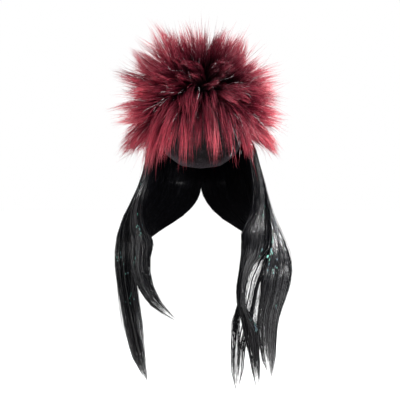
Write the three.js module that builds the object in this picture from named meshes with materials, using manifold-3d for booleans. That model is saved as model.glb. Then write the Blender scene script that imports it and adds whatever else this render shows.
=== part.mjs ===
// Long straight wig: a net cap, a short spiky top and long hair that comes forward over both
// shoulders in bunches. Millimetres, +Z up, the face opening looks along -Y, +X is on the right of
// someone who faces the wig. The origin is the inside top of the cap, where it sits on the head.
//
// bearing: degrees round the head from the middle of the face opening (0) over the right side (90)
// to the back (180). polar: degrees down the head form from its top (0) past the widest level (90).

import * as THREE from "three";
import Module from "manifold-3d";

const wasm = await Module();
wasm.setup();

// Inside of the cap: a half ellipsoid above the widest level, a longer one below it
const headWidth = 154;
const headDepth = 194;
const crownHeight = 105;
const lowerHeight = 150;
const formBearings = 32;
const formRows = 16;

// Cap of net
const capWall = 2;
const hairlineDrop = 62;
const templeDrop = 78;
const earTabDrop = 123;
const earDrop = 107;
const napeDrop = 165;
const capRows = 8;

// Short spikes and the hair base that they are sewn to
const spikeLength = 118;
const spikeRadius = 13;
const baseWall = 3;
const baseDrop = 98;
const baseRim = 3;
const hairClearance = 1;
const pieceGap = 0.3;
const crownPolar = 44;
const seamBearing = 52;
const spikeSides = 4;
const spikeBend = 0.45;
const seamWiden = 0.4;

// How far single spikes stray from their row: bearing as a share of the pitch, polar and leans in
// degrees, sideways and length as shares of the spike's length
const stray = { bearing: 0.28, polar: 3.5, rootLean: 6, tipLean: 8, sideways: 0.15, length: 0.08 };

// Long hair
const longDrop = 579;
const bunchSpread = 150;
const chestDepth = 118;
const napeDepth = 82;
const lockThickness = 22;
const lockEdge = 0.3;
const lockBulge = 2.5;
const lockRidge = 0.1;
const backLayer = 16;

// Lower edge of the cap, bearing by bearing
const capRim = [
  { bearing: 0, drop: hairlineDrop },
  { bearing: 30, drop: hairlineDrop },
  { bearing: 50, drop: templeDrop },
  { bearing: 62, drop: earTabDrop * 0.84 },
  { bearing: 70, drop: earTabDrop },
  { bearing: 80, drop: earTabDrop },
  { bearing: 90, drop: earDrop },
  { bearing: 100, drop: earDrop * 1.05 },
  { bearing: 120, drop: napeDrop * 0.84 },
  { bearing: 150, drop: napeDrop * 0.97 },
  { bearing: 180, drop: napeDrop },
];

// Rows of spikes from the top down. polar and half: where the row is rooted and over how much of
// the circle (centre and half width in bearing). lean: degrees that a spike leans down from square
// to the head, at its root and its tip, and the same over the face. length and radius: shares of
// spikeLength and spikeRadius.
const spikeRows = [
  {
    polar: 8, centre: 0, half: 180, count: 4, length: 0.95, radius: 1,
    rootLean: -4, tipLean: 2, faceRootLean: -2, faceTipLean: 8,
  },
  {
    polar: 22, centre: 0, half: 180, count: 9, length: 0.98, radius: 1,
    rootLean: -8, tipLean: 2, faceRootLean: 4, faceTipLean: 22,
  },
  {
    polar: 36, centre: 0, half: 180, count: 13, length: 1, radius: 1,
    rootLean: -2, tipLean: 14, faceRootLean: 16, faceTipLean: 54,
  },
  {
    polar: 53, centre: 0, half: 180, count: 18, length: 0.97, radius: 1,
    rootLean: -6, tipLean: 12, faceRootLean: 40, faceTipLean: 92,
  },
  {
    polar: 66, centre: 180, half: 126, count: 15, length: 0.98, radius: 1,
    rootLean: 8, tipLean: 34, faceRootLean: 30, faceTipLean: 62,
  },
  {
    polar: 76.5, centre: 180, half: 118, count: 17, length: 0.95, radius: 0.7,
    rootLean: 26, tipLean: 66, faceRootLean: 40, faceTipLean: 84,
  },
  {
    polar: 61, centre: 0, half: 48, count: 9, length: 1.12, radius: 0.48,
    rootLean: 62, tipLean: 98, faceRootLean: 66, faceTipLean: 100,
  },
];

// Reach of the spikes in the front view, by clock direction from a point clockDrop (a share of
// crownHeight) under the top: 0 points right, 90 up, 180 left. reach: share of the row's length.
const clockDrop = 0.19;
const clockReach = [
  { clock: -90, reach: 0.95 },
  { clock: -75, reach: 0.95 },
  { clock: -55, reach: 0.92 },
  { clock: -40, reach: 0.86 },
  { clock: -22, reach: 0.8 },
  { clock: -8, reach: 0.78 },
  { clock: 4, reach: 0.86 },
  { clock: 16, reach: 0.92 },
  { clock: 28, reach: 0.78 },
  { clock: 42, reach: 0.88 },
  { clock: 56, reach: 0.92 },
  { clock: 72, reach: 0.82 },
  { clock: 90, reach: 0.88 },
  { clock: 110, reach: 0.87 },
  { clock: 128, reach: 0.95 },
  { clock: 140, reach: 0.88 },
  { clock: 166, reach: 1 },
  { clock: 178, reach: 0.85 },
  { clock: 195, reach: 0.86 },
  { clock: 212, reach: 0.92 },
  { clock: 232, reach: 0.98 },
  { clock: 250, reach: 0.85 },
  { clock: 270, reach: 0.95 },
];

// Radius of a spike along its length, as a share of its root radius
const spikeProfile = [
  { along: 0, radius: 1 },
  { along: 0.3, radius: 0.86 },
  { along: 0.65, radius: 0.5 },
];

// Outer limit of the crown piece: its polar angle, as a share of crownPolar, at a height above the
// head form, as a share of spikeLength
const crownLimit = [
  { out: -0.05, polar: 1 },
  { out: 0.1, polar: 1.01 },
  { out: 0.45, polar: 1.08 },
  { out: 1, polar: 1.15 },
  { out: 2, polar: 1.22 },
];

// Inner face of the long hair, level by level. down: share of the way from the top of the long hair
// to its longest tip. left and right: half width as a share of bunchSpread. front: half depth ahead
// of the middle as a share of chestDepth. back: half depth behind it as a share of napeDepth.
const drapeRows = [
  { down: 0, left: 0.5, right: 0.5, front: 0.8, back: 0.98 },
  { down: 0.03, left: 0.53, right: 0.53, front: 0.8, back: 0.98 },
  { down: 0.07, left: 0.59, right: 0.6, front: 0.8, back: 1 },
  { down: 0.13, left: 0.6, right: 0.63, front: 0.79, back: 1 },
  { down: 0.18, left: 0.635, right: 0.665, front: 0.76, back: 1 },
  { down: 0.23, left: 0.68, right: 0.69, front: 0.72, back: 1 },
  { down: 0.28, left: 0.745, right: 0.71, front: 0.71, back: 0.97 },
  { down: 0.33, left: 0.82, right: 0.75, front: 0.73, back: 0.95 },
  { down: 0.38, left: 0.87, right: 0.82, front: 0.78, back: 0.97 },
  { down: 0.42, left: 0.9, right: 0.88, front: 0.83, back: 0.98 },
  { down: 0.46, left: 0.915, right: 0.945, front: 0.875, back: 0.98 },
  { down: 0.5, left: 0.92, right: 0.985, front: 0.91, back: 0.98 },
  { down: 0.54, left: 0.915, right: 1, front: 0.93, back: 0.98 },
  { down: 0.6, left: 0.895, right: 0.975, front: 0.95, back: 0.98 },
  { down: 0.66, left: 0.88, right: 0.91, front: 0.97, back: 0.98 },
  { down: 0.7, left: 0.867, right: 0.865, front: 0.98, back: 0.98 },
  { down: 0.75, left: 0.865, right: 0.84, front: 0.985, back: 0.98 },
  { down: 0.82, left: 0.865, right: 0.85, front: 0.99, back: 0.98 },
  { down: 1, left: 0.865, right: 0.865, front: 1, back: 0.98 },
];

// Locks of long hair. Each row is a section from the front edge to the back edge of the lock:
// frontDown and backDown as down above, frontAt and backAt the bearings, thick a share of
// lockThickness, layer how deep the lock lies behind its neighbours as a share of backLayer.
// The tip closes the lock in a point.
const locks = [
  {
    name: "left_inner_lock",
    side: -1,
    steps: 6,
    rows: [
      { frontDown: 0, frontAt: 72, backDown: 0, backAt: 83.6, thick: 0.23, layer: 0 },
      { frontDown: 0.04, frontAt: 72, backDown: 0.04, backAt: 82.4, thick: 0.45, layer: 0 },
      { frontDown: 0.1, frontAt: 71.5, backDown: 0.1, backAt: 80.6, thick: 0.62, layer: 0 },
      { frontDown: 0.18, frontAt: 70, backDown: 0.18, backAt: 78.2, thick: 0.75, layer: 0 },
      { frontDown: 0.265, frontAt: 65, backDown: 0.265, backAt: 75.4, thick: 0.88, layer: 0 },
      { frontDown: 0.32, frontAt: 56.5, backDown: 0.32, backAt: 71.5, thick: 0.95, layer: 0 },
      { frontDown: 0.375, frontAt: 46.5, backDown: 0.375, backAt: 67, thick: 1, layer: 0 },
      { frontDown: 0.42, frontAt: 39, backDown: 0.42, backAt: 63, thick: 1, layer: 0 },
      { frontDown: 0.47, frontAt: 40.6, backDown: 0.475, backAt: 58.9, thick: 1, layer: 0 },
      { frontDown: 0.52, frontAt: 41, backDown: 0.528, backAt: 57, thick: 0.97, layer: 0 },
      { frontDown: 0.56, frontAt: 40, backDown: 0.575, backAt: 54, thick: 0.9, layer: 0 },
      { frontDown: 0.6, frontAt: 37, backDown: 0.612, backAt: 49.5, thick: 0.75, layer: 0 },
      { frontDown: 0.635, frontAt: 33, backDown: 0.645, backAt: 44, thick: 0.6, layer: 0 },
      { frontDown: 0.665, frontAt: 27.5, backDown: 0.678, backAt: 36, thick: 0.45, layer: 0 },
      { frontDown: 0.69, frontAt: 22.5, backDown: 0.7, backAt: 27.5, thick: 0.3, layer: 0 },
    ],
    tip: { down: 0.711, at: 18.2 },
  },
  {
    name: "left_outer_lock",
    side: -1,
    steps: 7,
    rows: [
      { frontDown: 0, frontAt: 84.4, backDown: 0, backAt: 104, thick: 0.23, layer: 0 },
      { frontDown: 0.04, frontAt: 83.2, backDown: 0.04, backAt: 107, thick: 0.45, layer: 0 },
      { frontDown: 0.1, frontAt: 81.4, backDown: 0.1, backAt: 111, thick: 0.62, layer: 0 },
      { frontDown: 0.18, frontAt: 79, backDown: 0.18, backAt: 111, thick: 0.75, layer: 0 },
      { frontDown: 0.265, frontAt: 76.2, backDown: 0.265, backAt: 107, thick: 0.88, layer: 0 },
      { frontDown: 0.32, frontAt: 72.3, backDown: 0.32, backAt: 104, thick: 0.95, layer: 0 },
      { frontDown: 0.375, frontAt: 67.8, backDown: 0.375, backAt: 101, thick: 1, layer: 0 },
      { frontDown: 0.42, frontAt: 63.8, backDown: 0.42, backAt: 98.5, thick: 1, layer: 0 },
      { frontDown: 0.475, frontAt: 59.7, backDown: 0.475, backAt: 96.5, thick: 1, layer: 0 },
      { frontDown: 0.528, frontAt: 58, backDown: 0.528, backAt: 94.5, thick: 1, layer: 0 },
      { frontDown: 0.573, frontAt: 58.3, backDown: 0.573, backAt: 92, thick: 0.97, layer: 0 },
      { frontDown: 0.65, frontAt: 57, backDown: 0.65, backAt: 90, thick: 0.88, layer: 0 },
      { frontDown: 0.72, frontAt: 53.8, backDown: 0.727, backAt: 90, thick: 0.74, layer: 0 },
      { frontDown: 0.79, frontAt: 51.5, backDown: 0.804, backAt: 76, thick: 0.6, layer: 0 },
      { frontDown: 0.85, frontAt: 49.8, backDown: 0.861, backAt: 68.7, thick: 0.42, layer: 0 },
      { frontDown: 0.9, frontAt: 48, backDown: 0.9, backAt: 60, thick: 0.3, layer: 0 },
    ],
    tip: { down: 0.942, at: 46.7 },
  },
  {
    name: "left_nape_lock",
    side: -1,
    steps: 8,
    rows: [
      { frontDown: 0, frontAt: 104.8, backDown: 0, backAt: 179.7, thick: 0.23, layer: 0 },
      { frontDown: 0.04, frontAt: 107.8, backDown: 0.05, backAt: 179.7, thick: 0.4, layer: 0 },
      { frontDown: 0.1, frontAt: 111.8, backDown: 0.11, backAt: 179.7, thick: 0.5, layer: 0 },
      { frontDown: 0.17, frontAt: 111.8, backDown: 0.165, backAt: 179.7, thick: 0.55, layer: 0 },
      { frontDown: 0.23, frontAt: 109.5, backDown: 0.235, backAt: 179, thick: 0.6, layer: 0 },
      { frontDown: 0.29, frontAt: 106.5, backDown: 0.3, backAt: 170, thick: 0.65, layer: 0 },
      { frontDown: 0.345, frontAt: 103.6, backDown: 0.355, backAt: 155, thick: 0.7, layer: 0 },
      { frontDown: 0.4, frontAt: 100.5, backDown: 0.4, backAt: 138, thick: 0.7, layer: 0 },
      { frontDown: 0.46, frontAt: 97.8, backDown: 0.445, backAt: 122, thick: 0.7, layer: 0 },
      { frontDown: 0.53, frontAt: 95.3, backDown: 0.51, backAt: 110, thick: 0.65, layer: 0 },
      { frontDown: 0.6, frontAt: 92.6, backDown: 0.58, backAt: 103, thick: 0.6, layer: 0 },
      { frontDown: 0.68, frontAt: 91, backDown: 0.67, backAt: 99, thick: 0.5, layer: 0 },
      { frontDown: 0.76, frontAt: 91, backDown: 0.755, backAt: 96.5, thick: 0.35, layer: 0 },
    ],
    tip: { down: 0.85, at: 93 },
  },
  {
    name: "right_inner_lock",
    side: 1,
    steps: 5,
    rows: [
      { frontDown: 0, frontAt: 72, backDown: 0, backAt: 79.7, thick: 0.23, layer: 0 },
      { frontDown: 0.04, frontAt: 72, backDown: 0.04, backAt: 79, thick: 0.45, layer: 0 },
      { frontDown: 0.1, frontAt: 71.5, backDown: 0.1, backAt: 77.5, thick: 0.62, layer: 0 },
      { frontDown: 0.18, frontAt: 70, backDown: 0.18, backAt: 75.5, thick: 0.75, layer: 0 },
      { frontDown: 0.265, frontAt: 64, backDown: 0.265, backAt: 71.5, thick: 0.88, layer: 0 },
      { frontDown: 0.31, frontAt: 55, backDown: 0.31, backAt: 67, thick: 0.95, layer: 0 },
      { frontDown: 0.35, frontAt: 45, backDown: 0.35, backAt: 62, thick: 1, layer: 0 },
      { frontDown: 0.39, frontAt: 35, backDown: 0.39, backAt: 56.5, thick: 1, layer: 0 },
      { frontDown: 0.43, frontAt: 32.5, backDown: 0.43, backAt: 51.5, thick: 1, layer: 0 },
      { frontDown: 0.47, frontAt: 29.8, backDown: 0.47, backAt: 45, thick: 0.9, layer: 0 },
      { frontDown: 0.51, frontAt: 27.5, backDown: 0.51, backAt: 36, thick: 0.75, layer: 0 },
      { frontDown: 0.55, frontAt: 26, backDown: 0.55, backAt: 32, thick: 0.6, layer: 0 },
      { frontDown: 0.6, frontAt: 25.2, backDown: 0.6, backAt: 30.6, thick: 0.55, layer: 0 },
      { frontDown: 0.65, frontAt: 27.5, backDown: 0.65, backAt: 32.5, thick: 0.55, layer: 0 },
      { frontDown: 0.7, frontAt: 33.5, backDown: 0.7, backAt: 39, thick: 0.6, layer: 0 },
      { frontDown: 0.74, frontAt: 38, backDown: 0.745, backAt: 51, thick: 0.7, layer: 0 },
      { frontDown: 0.79, frontAt: 41, backDown: 0.79, backAt: 51.3, thick: 0.6, layer: 0 },
      { frontDown: 0.85, frontAt: 43.5, backDown: 0.85, backAt: 51.6, thick: 0.5, layer: 0 },
      { frontDown: 0.92, frontAt: 47.3, backDown: 0.92, backAt: 53.5, thick: 0.35, layer: 0 },
    ],
    tip: { down: 0.988, at: 52 },
  },
  {
    name: "right_middle_lock",
    side: 1,
    steps: 5,
    rows: [
      { frontDown: 0, frontAt: 80.3, backDown: 0, backAt: 87.6, thick: 0.23, layer: 0 },
      { frontDown: 0.04, frontAt: 79.6, backDown: 0.04, backAt: 86.8, thick: 0.45, layer: 0 },
      { frontDown: 0.1, frontAt: 78.1, backDown: 0.1, backAt: 85, thick: 0.62, layer: 0 },
      { frontDown: 0.18, frontAt: 76.1, backDown: 0.18, backAt: 83, thick: 0.75, layer: 0 },
      { frontDown: 0.265, frontAt: 72.1, backDown: 0.265, backAt: 79.5, thick: 0.88, layer: 0 },
      { frontDown: 0.31, frontAt: 67.6, backDown: 0.31, backAt: 76.5, thick: 0.95, layer: 0 },
      { frontDown: 0.35, frontAt: 62.6, backDown: 0.35, backAt: 72.5, thick: 1, layer: 0 },
      { frontDown: 0.39, frontAt: 57.1, backDown: 0.39, backAt: 67, thick: 1, layer: 0 },
      { frontDown: 0.43, frontAt: 52.1, backDown: 0.43, backAt: 61, thick: 0.95, layer: 0 },
      { frontDown: 0.47, frontAt: 45.8, backDown: 0.47, backAt: 54, thick: 0.8, layer: 0 },
      { frontDown: 0.51, frontAt: 42, backDown: 0.51, backAt: 49, thick: 0.6, layer: 0.4 },
      { frontDown: 0.55, frontAt: 40, backDown: 0.55, backAt: 46, thick: 0.45, layer: 0.8 },
      { frontDown: 0.6, frontAt: 39.5, backDown: 0.6, backAt: 45, thick: 0.4, layer: 1 },
      { frontDown: 0.65, frontAt: 39.5, backDown: 0.65, backAt: 45.5, thick: 0.4, layer: 1 },
      { frontDown: 0.7, frontAt: 38, backDown: 0.7, backAt: 46, thick: 0.4, layer: 1 },
      { frontDown: 0.75, frontAt: 35, backDown: 0.75, backAt: 46, thick: 0.4, layer: 1 },
      { frontDown: 0.8, frontAt: 31.5, backDown: 0.8, backAt: 42.5, thick: 0.35, layer: 1 },
      { frontDown: 0.86, frontAt: 31, backDown: 0.86, backAt: 40.5, thick: 0.3, layer: 1 },
      { frontDown: 0.93, frontAt: 31.3, backDown: 0.93, backAt: 38.5, thick: 0.2, layer: 1 },
    ],
    tip: { down: 0.985, at: 33.6 },
  },
  {
    name: "right_outer_lock",
    side: 1,
    steps: 7,
    rows: [
      { frontDown: 0, frontAt: 88.2, backDown: 0, backAt: 104, thick: 0.23, layer: 0 },
      { frontDown: 0.04, frontAt: 87.4, backDown: 0.04, backAt: 107, thick: 0.45, layer: 0 },
      { frontDown: 0.1, frontAt: 85.6, backDown: 0.1, backAt: 111, thick: 0.62, layer: 0 },
      { frontDown: 0.18, frontAt: 83.6, backDown: 0.18, backAt: 111, thick: 0.75, layer: 0 },
      { frontDown: 0.265, frontAt: 80.1, backDown: 0.265, backAt: 107, thick: 0.88, layer: 0 },
      { frontDown: 0.31, frontAt: 77.1, backDown: 0.31, backAt: 104.5, thick: 0.95, layer: 0 },
      { frontDown: 0.35, frontAt: 73.1, backDown: 0.35, backAt: 102, thick: 1, layer: 0 },
      { frontDown: 0.39, frontAt: 67.6, backDown: 0.39, backAt: 100, thick: 1, layer: 0 },
      { frontDown: 0.43, frontAt: 61.6, backDown: 0.43, backAt: 98, thick: 1, layer: 0 },
      { frontDown: 0.47, frontAt: 54.6, backDown: 0.47, backAt: 96, thick: 1, layer: 0 },
      { frontDown: 0.51, frontAt: 49.6, backDown: 0.51, backAt: 94.5, thick: 1, layer: 0 },
      { frontDown: 0.55, frontAt: 46.6, backDown: 0.55, backAt: 93, thick: 1, layer: 0 },
      { frontDown: 0.6, frontAt: 46, backDown: 0.6, backAt: 91.5, thick: 0.95, layer: 0 },
      { frontDown: 0.65, frontAt: 47.5, backDown: 0.65, backAt: 90.5, thick: 0.9, layer: 0 },
      { frontDown: 0.7, frontAt: 49.5, backDown: 0.7, backAt: 90, thick: 0.84, layer: 0 },
      { frontDown: 0.75, frontAt: 53.5, backDown: 0.75, backAt: 90, thick: 0.76, layer: 0 },
      { frontDown: 0.8, frontAt: 55.5, backDown: 0.8, backAt: 90, thick: 0.68, layer: 0 },
      { frontDown: 0.86, frontAt: 59, backDown: 0.86, backAt: 90, thick: 0.55, layer: 0 },
      { frontDown: 0.91, frontAt: 67, backDown: 0.915, backAt: 88, thick: 0.35, layer: 0 },
    ],
    tip: { down: 0.955, at: 80 },
  },
  {
    name: "right_nape_lock",
    side: 1,
    steps: 8,
    rows: [
      { frontDown: 0, frontAt: 104.8, backDown: 0, backAt: 179.7, thick: 0.23, layer: 0 },
      { frontDown: 0.04, frontAt: 107.8, backDown: 0.05, backAt: 179.7, thick: 0.4, layer: 0 },
      { frontDown: 0.1, frontAt: 111.8, backDown: 0.11, backAt: 179.7, thick: 0.5, layer: 0 },
      { frontDown: 0.17, frontAt: 111.8, backDown: 0.165, backAt: 179.7, thick: 0.55, layer: 0 },
      { frontDown: 0.23, frontAt: 109.5, backDown: 0.23, backAt: 179, thick: 0.6, layer: 0 },
      { frontDown: 0.29, frontAt: 106.5, backDown: 0.29, backAt: 171, thick: 0.65, layer: 0 },
      { frontDown: 0.345, frontAt: 103.6, backDown: 0.345, backAt: 157, thick: 0.7, layer: 0 },
      { frontDown: 0.4, frontAt: 100.5, backDown: 0.39, backAt: 140, thick: 0.7, layer: 0 },
      { frontDown: 0.46, frontAt: 97.8, backDown: 0.44, backAt: 124, thick: 0.7, layer: 0 },
      { frontDown: 0.53, frontAt: 95.3, backDown: 0.505, backAt: 111, thick: 0.65, layer: 0 },
      { frontDown: 0.6, frontAt: 92.6, backDown: 0.58, backAt: 103, thick: 0.6, layer: 0 },
      { frontDown: 0.68, frontAt: 91, backDown: 0.68, backAt: 100, thick: 0.5, layer: 0 },
      { frontDown: 0.78, frontAt: 91, backDown: 0.78, backAt: 97, thick: 0.35, layer: 0 },
    ],
    tip: { down: 0.88, at: 93 },
  },
];

const hairStandoff = capWall + hairClearance;
const lockTop = baseDrop + pieceGap;

// Named column `value` of a table, linear between the rows of its column `key`
function lookUp(table, key, at, value) {
  if (at <= table[0][key]) {
    return table[0][value];
  }
  for (let i = 1; i < table.length; i += 1) {
    if (at <= table[i][key]) {
      const before = table[i - 1];
      const share = (at - before[key]) / (table[i][key] - before[key]);
      return before[value] + share * (table[i][value] - before[value]);
    }
  }
  return table[table.length - 1][value];
}

// Repeatable scatter from -1 to 1 for the member `index` of a series; `step` names the series
function scatter(index, step) {
  return 2 * (((index + 1) * step) % 1) - 1;
}

// Point at a distance `standoff` outside the head form
function headPoint(bearing, polar, standoff) {
  const b = THREE.MathUtils.degToRad(bearing);
  const p = THREE.MathUtils.degToRad(polar);
  const height = (Math.cos(p) < 0 ? lowerHeight : crownHeight) + standoff;
  return new THREE.Vector3(
    (headWidth / 2 + standoff) * Math.sin(p) * Math.sin(b),
    -(headDepth / 2 + standoff) * Math.sin(p) * Math.cos(b),
    height * Math.cos(p) - crownHeight,
  );
}

// Square to the head form at that point
function headNormal(bearing, polar, standoff) {
  const point = headPoint(bearing, polar, standoff);
  const height = (polar > 90 ? lowerHeight : crownHeight) + standoff;
  return new THREE.Vector3(
    point.x / (headWidth / 2 + standoff) ** 2,
    point.y / (headDepth / 2 + standoff) ** 2,
    (point.z + crownHeight) / height ** 2,
  ).normalize();
}

// Polar angle at which the head form lies `drop` below its top
function polarAtDrop(drop) {
  const above = crownHeight - drop;
  return THREE.MathUtils.radToDeg(Math.acos(above / (above < 0 ? lowerHeight : crownHeight)));
}

// Half of a horizontal section of the head form, from its half size at the widest level
function headHalf(drop, half) {
  const below = drop - crownHeight;
  const height = (below > 0 ? lowerHeight : crownHeight) + hairStandoff;
  return (half + hairStandoff) * Math.sqrt(Math.max(0, 1 - (below / height) ** 2));
}

// Lower edge of the cap and of the hair base, both alike on the left and the right
function rimDrop(bearing) {
  const folded = bearing > 180 ? 360 - bearing : bearing;
  return lookUp(capRim, "bearing", folded, "drop");
}

// Closed surface through a series of rings; a ring of one point is a pole
function closedSurface(rings) {
  const points = [];
  const starts = rings.map((ring) => {
    points.push(...ring);
    return points.length - ring.length;
  });
  const faces = [];
  for (let i = 1; i < rings.length; i += 1) {
    const upper = rings[i - 1];
    const lower = rings[i];
    const count = Math.max(upper.length, lower.length);
    for (let j = 0; j < count; j += 1) {
      const k = (j + 1) % count;
      const a = starts[i - 1] + (upper.length > 1 ? j : 0);
      const b = starts[i - 1] + (upper.length > 1 ? k : 0);
      const c = starts[i] + (lower.length > 1 ? j : 0);
      const d = starts[i] + (lower.length > 1 ? k : 0);
      if (upper.length > 1) {
        faces.push([a, c, b]);
      }
      if (lower.length > 1) {
        faces.push([b, c, d]);
      }
    }
  }
  return outward({ points, faces });
}

// Turns the faces of a closed surface round if they point in
function outward({ points, faces }) {
  const cross = new THREE.Vector3();
  const volume = faces.reduce((sum, [a, b, c]) => {
    cross.crossVectors(points[b], points[c]);
    return sum + points[a].dot(cross);
  }, 0);
  return { points, faces: volume > 0 ? faces : faces.map(([a, b, c]) => [a, c, b]) };
}

function solidOf({ points, faces }) {
  return new wasm.Manifold(new wasm.Mesh({
    numProp: 3,
    vertProperties: new Float32Array(points.flatMap((point) => point.toArray())),
    triVerts: new Uint32Array(faces.flat()),
  }));
}

function surfaceOf(solid) {
  const mesh = solid.getMesh();
  const points = [];
  for (let i = 0; i < mesh.vertProperties.length; i += mesh.numProp) {
    points.push(new THREE.Vector3().fromArray(mesh.vertProperties, i));
  }
  const faces = [];
  for (let i = 0; i < mesh.triVerts.length; i += 3) {
    faces.push([mesh.triVerts[i], mesh.triVerts[i + 1], mesh.triVerts[i + 2]]);
  }
  return { points, faces };
}

// The body with the most faces; tips that a cut has parted from their spike fall away
function mainBody({ points, faces }) {
  const parent = points.map((point, index) => index);
  const rootOf = (index) => {
    let at = index;
    while (parent[at] !== at) {
      parent[at] = parent[parent[at]];
      at = parent[at];
    }
    return at;
  };
  faces.forEach(([a, b, c]) => {
    parent[rootOf(b)] = rootOf(a);
    parent[rootOf(c)] = rootOf(a);
  });
  const tally = new Map();
  faces.forEach(([a]) => tally.set(rootOf(a), (tally.get(rootOf(a)) ?? 0) + 1));
  const largest = [...tally].reduce((best, entry) => (entry[1] > best[1] ? entry : best))[0];
  return { points, faces: faces.filter(([a]) => rootOf(a) === largest) };
}

function circleOfBearings(count) {
  return Array.from({ length: count }, (unused, j) => (360 * j) / count);
}

// Whole head form at a standoff, closed top and bottom
function headForm(standoff) {
  const bearings = circleOfBearings(formBearings);
  const rings = [];
  for (let i = 0; i <= formRows; i += 1) {
    const polar = (180 * i) / formRows;
    const pole = i === 0 || i === formRows;
    rings.push(pole ? [headPoint(0, polar, standoff)] : bearings.map((b) => headPoint(b, polar, standoff)));
  }
  return closedSurface(rings);
}

// Cap: outer surface from the top to the rim, then the inner surface back up
function capSurface() {
  const bearings = circleOfBearings(formBearings);
  const ring = (share, standoff) => bearings.map((b) => (
    headPoint(b, share * polarAtDrop(rimDrop(b)), standoff)
  ));
  const rings = [[headPoint(0, 0, capWall)]];
  for (let i = 1; i <= capRows; i += 1) {
    rings.push(ring(i / capRows, capWall));
  }
  for (let i = capRows; i >= 1; i -= 1) {
    rings.push(ring(i / capRows, 0));
  }
  rings.push([headPoint(0, 0, 0)]);
  return closedSurface(rings);
}

// Hair base over the cap, ending above its rim in front and at baseDrop round the sides and back
function baseSurface() {
  const bearings = circleOfBearings(formBearings);
  const standoff = hairStandoff + baseWall;
  const edge = (b) => polarAtDrop(Math.min(baseDrop, rimDrop(b) - baseRim));
  const rings = [[headPoint(0, 0, standoff)]];
  for (let i = 1; i <= capRows; i += 1) {
    rings.push(bearings.map((b) => headPoint(b, (i / capRows) * edge(b), standoff)));
  }
  rings.push([new THREE.Vector3(0, 0, -hairlineDrop)]);
  return closedSurface(rings);
}

// Space that belongs to the crown piece, widened by `widen` degrees for its neighbours' cut
function crownSpace(widen) {
  const bearings = circleOfBearings(formBearings);
  const outs = crownLimit.map((row) => row.out * spikeLength);
  const rings = [[headPoint(0, 0, outs[0])]];
  crownLimit.forEach((row, i) => {
    rings.push(bearings.map((b) => headPoint(b, row.polar * crownPolar + widen, outs[i])));
  });
  rings.push([headPoint(0, 0, outs[outs.length - 1])]);
  return closedSurface(rings);
}

// Upright wedge between two directions from the axis, drawn back from both by half a gap
function wedgeSpace(fromBearing, toBearing) {
  const reach = 3 * (spikeLength + headDepth);
  const direction = (bearing) => {
    const point = headPoint(bearing, 90, 0);
    return new THREE.Vector2(point.x, point.y).normalize();
  };
  const from = direction(fromBearing);
  const to = direction(toBearing);
  const middle = from.clone().add(to).normalize();
  const halfAngle = Math.acos(from.dot(middle));
  const apex = middle.clone().multiplyScalar(pieceGap / 2 / Math.sin(halfAngle));
  const corners = [
    apex,
    apex.clone().addScaledVector(from, reach),
    apex.clone().addScaledVector(middle, reach),
    apex.clone().addScaledVector(to, reach),
  ];
  const ring = (z) => corners.map((corner) => new THREE.Vector3(corner.x, corner.y, z));
  const inside = middle.clone().multiplyScalar(reach / 2);
  return closedSurface([
    [new THREE.Vector3(inside.x, inside.y, -reach)],
    ring(-reach),
    ring(reach),
    [new THREE.Vector3(inside.x, inside.y, reach)],
  ]);
}

// Root, middle and tip of every spike. The way out of the head turns from rootLean to tipLean; the
// columns for the face count as the square of how far the spike points forward.
function layOutSpikes() {
  const spikes = [];
  spikeRows.forEach((row, rowIndex) => {
    for (let j = 0; j < row.count; j += 1) {
      const index = spikes.length;
      const pitch = (2 * row.half) / row.count;
      const stagger = row.half < 180 || rowIndex % 2 ? 0.5 : 0;
      const place = j + stagger + stray.bearing * scatter(index, 0.618);
      const bearing = row.centre - row.half + pitch * place;
      const polar = row.polar + stray.polar * row.radius * scatter(index, 0.414);
      const rooted = hairStandoff + baseWall / 2;
      const root = headPoint(bearing, polar, rooted);
      const out = headNormal(bearing, polar, rooted);
      const down = headPoint(bearing, polar + 1, rooted).sub(root).normalize();
      const across = new THREE.Vector3().crossVectors(out, down);
      const facing = Math.max(0, Math.cos(THREE.MathUtils.degToRad(bearing))) ** 2;
      const blend = (plain, overFace) => plain + facing * (overFace - plain);
      const rootLean = blend(row.rootLean, row.faceRootLean) + stray.rootLean * scatter(index, 0.732);
      const tipLean = blend(row.tipLean, row.faceTipLean) + stray.tipLean * scatter(index, 0.236);
      const leaned = (degrees) => {
        const angle = THREE.MathUtils.degToRad(degrees);
        return out.clone().multiplyScalar(Math.cos(angle)).addScaledVector(down, Math.sin(angle));
      };
      const first = leaned(rootLean);
      const sideways = stray.sideways * scatter(index, 0.854);
      const last = leaned(tipLean).addScaledVector(across, sideways).normalize();
      const full = row.length * spikeLength * (1 + stray.length * scatter(index, 0.553));
      const path = (length) => {
        const middle = root.clone().addScaledVector(first, spikeBend * length);
        return { middle, tip: middle.clone().addScaledVector(last, (1 - spikeBend) * length) };
      };
      const aim = path(full).tip;
      const clock = THREE.MathUtils.radToDeg(Math.atan2(aim.z + clockDrop * crownHeight, aim.x));
      const reach = lookUp(clockReach, "clock", clock < -90 ? clock + 360 : clock, "reach");
      const { middle, tip } = path(full * reach);
      spikes.push({ bearing, polar, radius: row.radius * spikeRadius, root, middle, tip });
    }
  });
  return spikes;
}

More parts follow.
